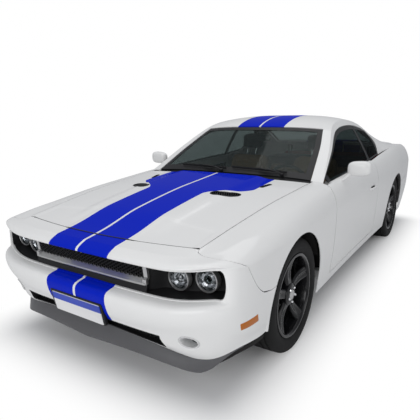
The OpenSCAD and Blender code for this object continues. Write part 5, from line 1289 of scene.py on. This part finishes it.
def plate_place(out, across, up):
    """Point of the plate from its own axes."""
    c, k = math.cos(PLATE_LEAN), math.sin(PLATE_LEAN)
    return np.stack([PLATE_TOP[0] + out * c + up * k, across, PLATE_TOP[1] - out * k + up * c], -1)


def plate_slab(half, low, high, round_r, layers):
    """Rounded slab built up of layers (out, shrink)."""
    corners = []
    for sy, sz, start in ((1, 1, 0), (-1, 1, 90), (-1, -1, 180), (1, -1, 270)):
        for a in np.radians(np.linspace(start, start + 90, 7)):
            corners.append((sy * (half - round_r) + round_r * math.cos(a),
                            ((high if sz > 0 else low) - sz * round_r) + round_r * math.sin(a)))
    loop, middle = np.array(corners), np.array([0, (low + high) / 2])
    rings = []
    for out, shrink in layers:
        scale = 1 - shrink / np.array([half, (high - low) / 2])
        ring = middle + (loop - middle) * scale
        rings.append(plate_place(out, *ring.T))
    n, points = len(loop), np.concatenate(rings)
    ends = [tuple(range(n - 1, -1, -1)), tuple(range(len(points) - n, len(points)))]
    return points, ring_faces(len(rings), n) + ends


def make_plate():
    material, wire, place = start_finish("plate_face")
    height = wire.node("ShaderNodeSeparateXYZ", {0: place}).out("Z")
    top = PLATE_TOP[1] * MM
    band = (height > top - PLATE_BAND[0]) * (height < top - PLATE_BAND[1])
    speck = grain(wire, place, 900.0, 2.0)
    white = blend(wire, speck, (0.72, 0.72, 0.72, 1), (0.78, 0.78, 0.78, 1))
    colour = blend(wire, band, white, (0.008, 0.045, 0.46, 1))
    close_finish(wire, {"Base Color": colour, "Roughness": speck * 0.1 + 0.32}, speck, 0.03, 0.0004)
    return material


# The carrier is larger than the plate: the black border round the plate is partly the bracket and partly painted
# shadow.
carrier_and_shadow = plate_slab(213, -132, 9, 12, ((-14, 1), (-13, 0), (2.6, 0), (3.4, 1.5)))
plate = plate_slab(197, -127, -3, 8, ((3.6, 0), (6.2, 0), (6.7, 1.2), (6.7, 3.0), (5.6, 4.2)))
piece("plate_carrier", carrier_and_shadow, SATIN_BLACK, "trim")
piece("plate_face", plate, make_plate(), "plate", "number_plate")

# %% [markdown]
# ## Small forms
# Rounded blocks and swept tubes make the mirrors, handles, wipers and cabin fittings.


# %% Rounded blocks and tubes
def bent(wave, power):
    return np.sign(wave) * np.abs(wave) ** power


def rounded(half, power=0.35, count=(48, 28)):
    """Closed block with soft edges: a small power is boxy, 1 is an ellipsoid."""
    u, v = spread(np.linspace(-np.pi, np.pi, count[0], endpoint=False),
                  np.linspace(-np.pi / 2, np.pi / 2, count[1]))
    ring = np.clip(np.cos(v), 0, None) ** power
    grid = np.stack([half[0] * ring * bent(np.cos(u), power), half[1] * ring * bent(np.sin(u), power),
                     half[2] * bent(np.sin(v), power)], -1)
    n, m = count
    faces = [(i * m + j, (i + 1) % n * m + j, (i + 1) % n * m + j + 1, i * m + j + 1)
             for i in range(n) for j in range(m - 1)]
    return grid.reshape(-1, 3), faces


def placed(mesh, at, lean=0.0, turn=0.0, roll=0.0):
    """Mesh rolled about X, leaned about Y and turned about Z, in degrees, then moved."""
    matrix = np.array(Euler([math.radians(v) for v in (roll, lean, turn)]).to_matrix())
    return np.asarray(mesh[0]) @ matrix.T + np.asarray(at, float), mesh[1]


def tube(path, wide, high=None, count=14, steps=40):
    """Tube of oval section along a smooth curve through the points."""
    path = np.asarray(path, float)
    t = np.linspace(0, len(path) - 1, steps)
    table = np.concatenate([np.arange(len(path))[:, None], path], 1)
    line = np.stack([look(table, t, axis) for axis in (1, 2, 3)], -1)
    along = np.gradient(line, axis=0)
    along /= np.linalg.norm(along, axis=1, keepdims=True)
    side = np.cross(along, (0.05, 0.1, 1.0))
    side /= np.linalg.norm(side, axis=1, keepdims=True)
    up = np.cross(side, along)
    a = full_turn(count)
    wide, high = np.broadcast_to(wide, steps), np.broadcast_to(wide if high is None else high, steps)
    ring = (line[:, None] + np.cos(a)[None, :, None] * (wide[:, None, None] * side[:, None])
            + np.sin(a)[None, :, None] * (high[:, None, None] * up[:, None]))
    faces = [(a, d, c, b) for a, b, c, d in ring_faces(steps, count)]
    ends = [tuple(range(count)), tuple(range(steps * count - 1, (steps - 1) * count - 1, -1))]
    return ring.reshape(-1, 3), faces + ends


# %% [markdown]
# ## Mirrors, handles and wipers
# The mirror heads are rounded shells on curved stalks, each with a bright glass in its rear face. Each door
# has a bar handle over a dark pocket, and two wipers rest at the foot of the windshield.

# %% Mirrors
HEAD_AT, HEAD_HALF, HEAD_POWER, HEAD_TILT, HEAD_TURNS = (1001, 1047), (89, 58), 0.62, 0.06, 56
HEAD_RINGS = ((541, 0.84), (536, 0.86), (534, 0.93), (535, 0.97), (540, 1.0), (556, 0.995), (572, 0.95),
              (583, 0.84), (590, 0.64), (593, 0.36), (593.4, 0.02))
HEAD_BACK = tuple(range(HEAD_TURNS - 1, -1, -1))


def mirror_head():
    rings, a = [], full_turn(HEAD_TURNS)
    for x, scale in HEAD_RINGS:
        y = HEAD_AT[0] + HEAD_HALF[0] * scale * bent(np.cos(a), HEAD_POWER)
        z = HEAD_AT[1] + HEAD_HALF[1] * scale * bent(np.sin(a), HEAD_POWER) + HEAD_TILT * (y - HEAD_AT[0])
        rings.append(np.stack([np.full_like(y, x), y, z], -1))
    return np.concatenate(rings), ring_faces(len(rings), HEAD_TURNS) + [HEAD_BACK]


head = mirror_head()
stalk = tube([(566, 868, 946), (566, 893, 964), (565, 918, 990), (563, 946, 1016)],
             np.linspace(30, 20, 40), np.linspace(15, 13, 40))
glass_rim = head[0][:HEAD_TURNS] - (1.2, 0, 0)
glass_slab = (np.concatenate([glass_rim, glass_rim + (3, 0, 0)]),
              [HEAD_BACK, tuple(range(HEAD_TURNS, 2 * HEAD_TURNS))] + ring_faces(2, HEAD_TURNS))
for word, turned in SIDES:
    body = f"{word}_door"
    piece(f"mirror_head_{word}", turned(joined(head, stalk)), PAINT, "pearl", f"mirror_{word}", body=body)
    piece(f"mirror_glass_{word}", turned(glass_slab), CHROME, "lamps", body=body)


# %% Door handles
def side_spot(x, z, out):
    """Point a given way out from the body side."""
    q = np.linspace(0.2, 1.9, 300)
    line = side_point(x, q)
    return np.array([x, np.interp(z, line[:, 2], line[:, 1]) + out, z])


handle_x = np.linspace(-345, -150, 9)
HANDLE_Z, HANDLE_OUT, HANDLE_DIP = 768, 15, 17
handle = tube([side_spot(x, HANDLE_Z, HANDLE_OUT - HANDLE_DIP * (abs(i - 4) / 4) ** 6)
               for i, x in enumerate(handle_x)], 8, 13)
pocket = placed(rounded((70, 2.2, 24), 0.5, (32, 16)), side_spot(-247, 766, -0.6), roll=-8)
for word, turned in SIDES:
    piece(f"handle_{word}", turned(handle), PAINT, "pearl", body=f"{word}_door")
    piece(f"handle_pocket_{word}", turned(pocket), SATIN_BLACK, "trim", body=f"{word}_door")


# %% Wipers
def glass_spot(step, v, out):
    patch = house_grid(np.array([step - 0.01, step, step + 0.01]), np.array([v + 0.01, v, v - 0.01]))
    return patch[1, 1] + out * facing(patch)[1, 1]


def wiper(pivot, tip, from_v, to_v):
    blade = [glass_spot(0.13 + 0.05 * t, mix(from_v, to_v, t), 9) for t in np.linspace(0, 1, 7)]
    arm = [glass_spot(0.05, pivot, 16), glass_spot(0.10, mix(pivot, tip, 0.35), 24), glass_spot(0.16, tip, 17)]
    boss = placed(rounded((16, 16, 12), 0.6, (24, 14)), glass_spot(0.05, pivot, 12))
    return joined(tube(blade, 4, 9), tube(arm, 9, 5), boss)


wipers = joined(wiper(0.62, 0.36, 0.66, 0.06), wiper(-0.04, -0.30, 0.0, -0.60))
piece("wipers", wipers, SATIN_BLACK, "trim")

# %% [markdown]
# ## Seats
# Each pad starts a little small. It is remeshed evenly, blown up as cloth under pressure with its movement
# capped, smoothed once, and then the sewn channels are pressed in.


# %% Padding by cloth simulation
CLOTH_FRAMES = 20
CLOTH = {"settings.quality": 4, "settings.mass": 0.3, "settings.tension_stiffness": 12,
         "settings.compression_stiffness": 12, "settings.use_pressure": True,
         "settings.uniform_pressure_force": 4.0, "settings.effector_weights.gravity": 0.0}


def settled(mesh, kind, settings):
    """Mesh after one modifier, as points in millimetres, faces and outward ways."""
    data = mesh_data("pad", np.asarray(mesh[0]) * MM, mesh[1], 1e-5)
    made = linked("pad", data)
    step = made.modifiers.new(kind.lower(), kind)
    for key, value in settings.items():
        owner, _, word = key.rpartition(".")
        target = step.settings if owner == "settings" else step.settings.effector_weights if owner else step
        setattr(target, word, value)
    if kind == "CLOTH":
        for number in range(1, CLOTH_FRAMES + 1):
            bpy.context.scene.frame_set(number)
    points, faces, ways = evaluated(made)
    bpy.data.meshes.remove(data)
    if kind == "CLOTH":
        bpy.context.scene.frame_set(1)
    return points / MM, faces, ways


def padding(mesh, voxel, cap, channels):
    """Padded form: channels takes points and gives the depth pressed into each."""
    points, faces, _ = settled(mesh, "REMESH", {"mode": "VOXEL", "voxel_size": voxel * MM})
    moved = settled((points, faces), "CLOTH", CLOTH)[0] - points
    far = np.linalg.norm(moved, axis=1, keepdims=True)
    points = points + moved * np.minimum(1, cap / np.maximum(far, 1e-6))
    points, faces, ways = settled((points, faces), "SUBSURF", {"levels": 1})
    return points - channels(points)[:, None] * ways, faces


def press(where, at, width, depth):
    return depth * np.exp(-((where - at) / width) ** 2)


# %% Front seats
SEAT_Y, BACK_LEAN, REST_Z = 370.0, 14, 1180
BACK_AT = (-197, SEAT_Y, 773)


def cushion_channels(p):
    y, top = p[:, 1] - SEAT_Y, ease((p[:, 2] - 455) / 30)
    inner = np.abs(y) < 165
    across = sum(press(p[:, 0], x, 6, 6) for x in (20, 110, 200, 290)) * inner
    return top * (press(np.abs(y), 168, 7, 10) + across)


def back_axis(p):
    """Height along the backrest and distance in front of its middle plane."""
    c, k = math.cos(math.radians(BACK_LEAN)), math.sin(math.radians(BACK_LEAN))
    d = p - BACK_AT
    return d[:, 0] * -k + d[:, 2] * c, d[:, 0] * c + d[:, 2] * k


def back_channels(p):
    up, out = back_axis(p)
    y, front = p[:, 1] - SEAT_Y, ease((out - 15) / 20)
    inner = np.abs(y) < 150
    across = sum(press(up, h, 6, 6) for h in (-180, -90, 0, 90, 180)) * inner
    return front * (press(np.abs(y), 152, 7, 10) + across)


def bolstered(mesh, axis, lift):
    """Block with raised sides."""
    points = np.array(mesh[0])
    side = np.abs(points[:, 1]) / np.abs(points[:, 1]).max()
    front = ease((points[:, axis] / np.abs(points[:, axis]).max() + 0.2) / 0.8)
    points[:, axis] += lift * front * side ** 4
    return points, mesh[1]


VOXEL, BENCH_VOXEL, PAD_CAP, REST_CAP = 9.0, 12.0, 24, 14
cushion = placed(bolstered(rounded((238, 238, 58), 0.32), 2, 34), (178, SEAT_Y, 425), lean=-3.5)
back = placed(bolstered(rounded((44, 238, 292), 0.32), 0, 34), BACK_AT, lean=-BACK_LEAN)
rest = placed(rounded((32, 116, 74), 0.42), (-300, SEAT_Y, REST_Z), lean=-10)
soft_cushion = padding(cushion, VOXEL, PAD_CAP, cushion_channels)
soft_back = padding(back, VOXEL, PAD_CAP, back_channels)
soft_rest = padding(rest, VOXEL, REST_CAP, lambda p: press(p[:, 2], REST_Z, 5, 4) * (p[:, 0] > -295))
for name, mesh, finish, nodes in (
        ("seat_cushions", soft_cushion, TAN, ["front_seats"]), ("seat_backs", soft_back, TAN, []),
        ("head_rests", soft_rest, DARK_LEATHER, [])):
    piece(name, both_sides(mesh), finish, "seats", *nodes, sharp=80, recalc=False)
base = placed(rounded((205, 205, 66), 0.22, (48, 20)), (150, SEAT_Y, 296))
posts = joined(*[tube([(-262, SEAT_Y + y, 1050), (-283, SEAT_Y + y, 1140)], 6, steps=8) for y in (-52, 52)])
piece("seat_bases", both_sides(base), DASH_SKIN, "dash")
piece("rest_posts", both_sides(posts), CHROME, "seats")
print("front seat faces:", len(soft_cushion[1]) + len(soft_back[1]))


# %% Rear bench
def bench_channels(p):
    return sum(press(np.abs(p[:, 1]), y, 8, 9) for y in (95, 330)) * ease((p[:, 2] - 420) / 40)


bench = placed(rounded((222, 548, 70), 0.25, (64, 28)), (-785, 0, 395), lean=-4)
bench_back = placed(rounded((52, 548, 200), 0.25, (64, 28)), (-1060, 0, 668), lean=-18)
for name, mesh, nodes in (("rear_cushion", bench, ["rear_seat"]), ("rear_back", bench_back, [])):
    piece(name, padding(mesh, BENCH_VOXEL, PAD_CAP, bench_channels), TAN, "seats", *nodes, sharp=80,
                    recalc=False)
shelf = placed(rounded((172, 560, 14), 0.15, (48, 16)), (-1310, 0, 928))
piece("parcel_shelf", shelf, DASH_SKIN, "dash")
bench_base = placed(rounded((230, 540, 45), 0.15, (48, 16)), (-790, 0, 280))
piece("bench_base", bench_base, DARK_LINER, "dash")

# %% [markdown]
# ## Dashboard fittings
# The steering wheel is a leather ring with three spokes. A hood shades the dials, round vents sit in the
# dash, and a lever stands on the console. The mirror hangs at the top of the windshield.

# %% Cabin fittings
WHEEL_AT, WHEEL_LEAN, RING_R, GRIP_R, SPOKE_R = (417.6, SEAT_Y, 874.6), -66.0, 170.5, 15, 112
grip_turns = full_turn(20)
ring_profile = [(RING_R + GRIP_R * math.cos(a), GRIP_R * math.sin(a)) for a in grip_turns]
ring = lathe(ring_profile, 96, axis="z")
pad = rounded((58, 62, 22), 0.5, (40, 20))
arm = rounded((52, 17, 7), 0.35, (32, 14))
spokes = joined(*[placed(arm, (SPOKE_R * math.cos(a), SPOKE_R * math.sin(a), -2), turn=math.degrees(a))
                  for a in (math.pi / 2, math.pi, -math.pi / 2)])
column = lathe([(POLE, -165), (30, -165), (34, -60), (40, -24), (POLE, -24)], 40, axis="z")
piece("steering_rim", placed(ring, WHEEL_AT, WHEEL_LEAN), DARK_LEATHER, "dash", "steering_wheel")
piece("steering_hub", placed(joined(pad, spokes, column), WHEEL_AT, WHEEL_LEAN), DASH_SKIN, "dash")
binnacle = placed(rounded((70, 175, 34), 0.55), (640, SEAT_Y, 938), lean=8)
dial = lathe([(POLE, 0), (48, 0), (52, 5), (56, 5), (56, -12), (POLE, -12)], 48, axis="z")
dials = joined(*[placed(dial, (583, SEAT_Y + y, 905), -74) for y in (-68, 68)])
air_vent = lathe([(24, 0), (40, 0), (44, 5), (46, 0), (46, -14), (24, -14)], 40, axis="z")
air_vents = joined(*[placed(air_vent, (582, y, 862), -80) for y in (-650, -60, 60, 655)])
screen = placed(rounded((8, 100, 58), 0.2, (40, 20)), (566, 0, 800), lean=-8)
lever = joined(tube([(330, 0, 590), (325, 0, 640), (318, 0, 688)], 7, steps=12),
               placed(rounded((24, 24, 28), 0.8, (28, 18)), (316, 0, 700)))
piece("binnacle", binnacle, DASH_SKIN, "dash")
piece("dials", dials, SILVER, "dash")
piece("air_vents", air_vents, GLOSS_BLACK, "dash")
piece("centre_screen", screen, GLOSS_BLACK, "dash")
piece("gear_lever", lever, SILVER, "dash")

# %% Painted shade in the hood's front gap
# A flat black strip laid in the shut gap at the hood's front edge is painted shade that darkens the gap line.
gap_shade_line = lid_grid(0)[0, ::4] + (SHUT / 2, 0, 1.1)
piece("hood_seal", tube(gap_shade_line, 5.5, 0.9, 8, 90), SATIN_BLACK, "trim", body="front_lid")

# %% Inner mirror
view_at = glass_spot(1.58, 0.0, -46)
inner_mirror = joined(placed(rounded((14, 118, 34), 0.45), view_at - (18, 0, 26), lean=-12),
                      tube([glass_spot(1.62, 0.0, -10), view_at - (4, 0, 10)], 8, steps=8))
piece("inner_mirror", inner_mirror, GLOSS_BLACK, "dash")


# %% [markdown]
# ## Engine
# A cast block carries two leaning heads with dark covers. Curved runners join them to a ribbed plenum, and
# pulleys stand at the front.

# %% Engine
block = placed(rounded((306, 122, 135), 0.22, (56, 24)), (FRONT_X, 0, 440))
heads = both_sides(placed(rounded((298, 66, 74), 0.2, (56, 24)), (FRONT_X, 140, 575), roll=-28))
covers = both_sides(placed(rounded((290, 52, 30), 0.32, (56, 24)), (FRONT_X, 172, 650), roll=-28))
plenum = placed(rounded((250, 72, 40), 0.45, (56, 24)), (FRONT_X, 0, 706))
runner_x = FRONT_X + np.linspace(-210, 210, 4)
runners = both_sides(joined(*[tube([(x, 40, 690), (x, 85, 668), (x, 108, 622), (x, 112, 570)], 24, 19, 16, 18)
                              for x in runner_x]))
rib = rounded((5, 44, 5), 0.5, (20, 12))
rib_x = FRONT_X + np.linspace(-225, 225, 11)
ribs = copies([(x, 0, 743) for x in rib_x], [(0, 0, 0) for _ in rib_x], rib, CAST)
pulley = [(POLE, -14), (0.72, -14), (0.8, -9), (1, -11), (1, -4), (0.86, 0), (1, 4), (1, 11), (0.8, 9), (0.5, 2),
          (POLE, 4)]
pulleys = joined(*[lathe([(r * size, a) for r, a in pulley], 48, (1872, y, z), "x")
                   for y, z, size in ((0, 400, 85), (0, 560, 62), (132, 490, 44), (-132, 490, 44))])
piece("engine_core", joined(block, heads), CAST, "engine", "engine_block")
piece("valve_covers", covers, SATIN_BLACK, "engine")
piece("engine_plenum", joined(plenum, runners, ribs), SILVER, "engine")
piece("engine_pulleys", pulleys, STEEL, "engine")
print("engine ribs:", len(rib_x))


# %% Door trim
TRIM_DEPTH, ARM_REST = (63.0, 59.0), 52.0


def door_trim():
    """Moulded panel with an arm rest on the inside of a door."""
    x, z = spread(np.linspace(HINGE_X - 70, DOOR_END + 46, 60), np.linspace(320, 905, 60))
    arm = ease((x + 330) / 60) * ease((520 - x) / 120) * np.exp(-((z - 640) / 42) ** 4)
    y = BELT_Y - TRIM_DEPTH[0] - ARM_REST * arm - 5 * np.exp(-((z - 740) / 7) ** 2)
    grid = np.stack([x, y, z], -1)
    inner = grid.copy()
    inner[..., 1] = BELT_Y - TRIM_DEPTH[1]
    return shell(grid, 0, None, inner)


trim = door_trim()
for word, turned in SIDES:
    piece(f"door_trim_{word}", turned(trim), DASH_SKIN, "dash", body=f"{word}_door")
print("cabin fitted")

# %% Finishes of the solids that stay
STAY = {"body_frame": UNDER, "front_suspension": CAST, "rear_suspension": CAST, "exhaust": STEEL,
        "knuckle_left": CAST, "knuckle_right": CAST, "arch_liners": DARK_LINER, "cowl_panel": SATIN_BLACK,
        "dashboard": DASH_SKIN}
for name, finish in STAY.items():
    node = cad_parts[name]
    node.data.materials.clear()
    node.data.materials.append(finish)

# %% [markdown]
# ## Stage, light and camera
# A pale floor runs to the horizon. Camera and transmission rays see the world as white, and the
# object is lit by a plain soft sky and three large lamps.

# %% Stage
bpy.context.scene.view_settings.view_transform = "Standard"
FLOOR, FLOOR_REACH, FLOOR_HALF, FLOOR_FADE = (0.90, 0.90, 0.90, 1), 40, (2.25, 0.75), (-0.05, 0.50)
floor_data = bpy.data.meshes.new("floor")
floor_data.from_pydata([(FLOOR_REACH * a, FLOOR_REACH * b, 0) for a, b in ((-1, -1), (1, -1), (1, 1), (-1, 1))], [],
                       [(0, 1, 2, 3)])
floor = linked("floor", floor_data)


def seen_directly(wire):
    path = wire.node("ShaderNodeLightPath", out="Is Camera Ray")
    return wire.maths("MAXIMUM", path, path.out("Is Transmission Ray"))


def make_floor():
    """Pale floor that fades to plain white away from the car."""
    material, wire, place = start_finish("studio_floor")
    axes = wire.node("ShaderNodeSeparateXYZ", {0: place})
    ahead = wire.maths("MAXIMUM", abs(axes) - FLOOR_HALF[0], 0.0)
    aside = wire.maths("MAXIMUM", abs(axes.out("Y")) - FLOOR_HALF[1], 0.0)
    away = wire.maths("SQRT", ahead * ahead + aside * aside)
    fade = ramp(wire, away, *FLOOR_FADE)
    plain = wire.node("ShaderNodeBsdfDiffuse", {"Color": FLOOR})
    white = wire.node("ShaderNodeEmission", {"Color": (1, 1, 1, 1), "Strength": 1.0})
    mixed = wire.node("ShaderNodeMixShader", {0: fade * seen_directly(wire), 1: plain, 2: white})
    wire.node("ShaderNodeOutputMaterial", {"Surface": mixed})
    return material


floor_data.materials.append(make_floor())
world = bpy.data.worlds.new("studio")
bpy.context.scene.world = world
world.use_nodes = True
world.node_tree.nodes.clear()
sky = Wire(world.node_tree)
soft = sky.node("ShaderNodeBackground", {"Color": (0.93, 0.95, 1.0, 1), "Strength": 0.42})
white = sky.node("ShaderNodeBackground", {"Color": (1, 1, 1, 1), "Strength": 1.0})
both = sky.node("ShaderNodeMixShader", {0: seen_directly(sky), 1: soft, 2: white})
sky.node("ShaderNodeOutputWorld", {"Surface": both})


def lamp(name, at, aim, size, power):
    light = bpy.data.lights.new(name, "AREA")
    light.shape, light.size, light.size_y = "RECTANGLE", size[0], size[1]
    light.energy = power
    made = linked(name, light)
    made.location = at
    made.rotation_euler = (Vector(aim) - Vector(at)).to_track_quat("-Z", "Y").to_euler()


lamp("overhead", (0.3, 0.0, 5.5), (0.3, 0, 0), (7, 4), 110)
lamp("front", (7.5, 1.0, 2.6), (1.5, 0, 0.5), (4, 3), 125)
lamp("left", (3.0, 6.5, 3.4), (0.4, 0, 0.6), (5, 3), 60)

# %% Camera
CAM_AT, CAM_TURNS = (3.889, 1.830, 1.477), (33.83, 12.99, -0.89)
PIXELS, CAM_F, CAM_U, CAM_V, SENSOR = 420, 420.6, 208.7, 210.9, 36


def make_camera():
    az, el, roll = (math.radians(v) for v in CAM_TURNS)
    ahead = Vector((-math.cos(el) * math.cos(az), -math.cos(el) * math.sin(az), -math.sin(el)))
    right = ahead.cross(Vector((0, 0, 1))).normalized()
    up = right.cross(ahead)
    r = right * math.cos(roll) + up * math.sin(roll)
    u = -right * math.sin(roll) + up * math.cos(roll)
    data = bpy.data.cameras.new("camera")
    data.sensor_fit, data.sensor_width, data.sensor_height = "HORIZONTAL", SENSOR, SENSOR
    data.lens = SENSOR * CAM_F / PIXELS
    data.shift_x, data.shift_y = (PIXELS / 2 - CAM_U) / PIXELS, (CAM_V - PIXELS / 2) / PIXELS
    data.clip_start, data.clip_end = 0.05, 200
    made = linked("camera", data)
    made.matrix_world = Matrix(((r.x, u.x, -ahead.x, CAM_AT[0]), (r.y, u.y, -ahead.y, CAM_AT[1]),
                                (r.z, u.z, -ahead.z, CAM_AT[2]), (0, 0, 0, 1)))
    bpy.context.scene.camera = made


make_camera()
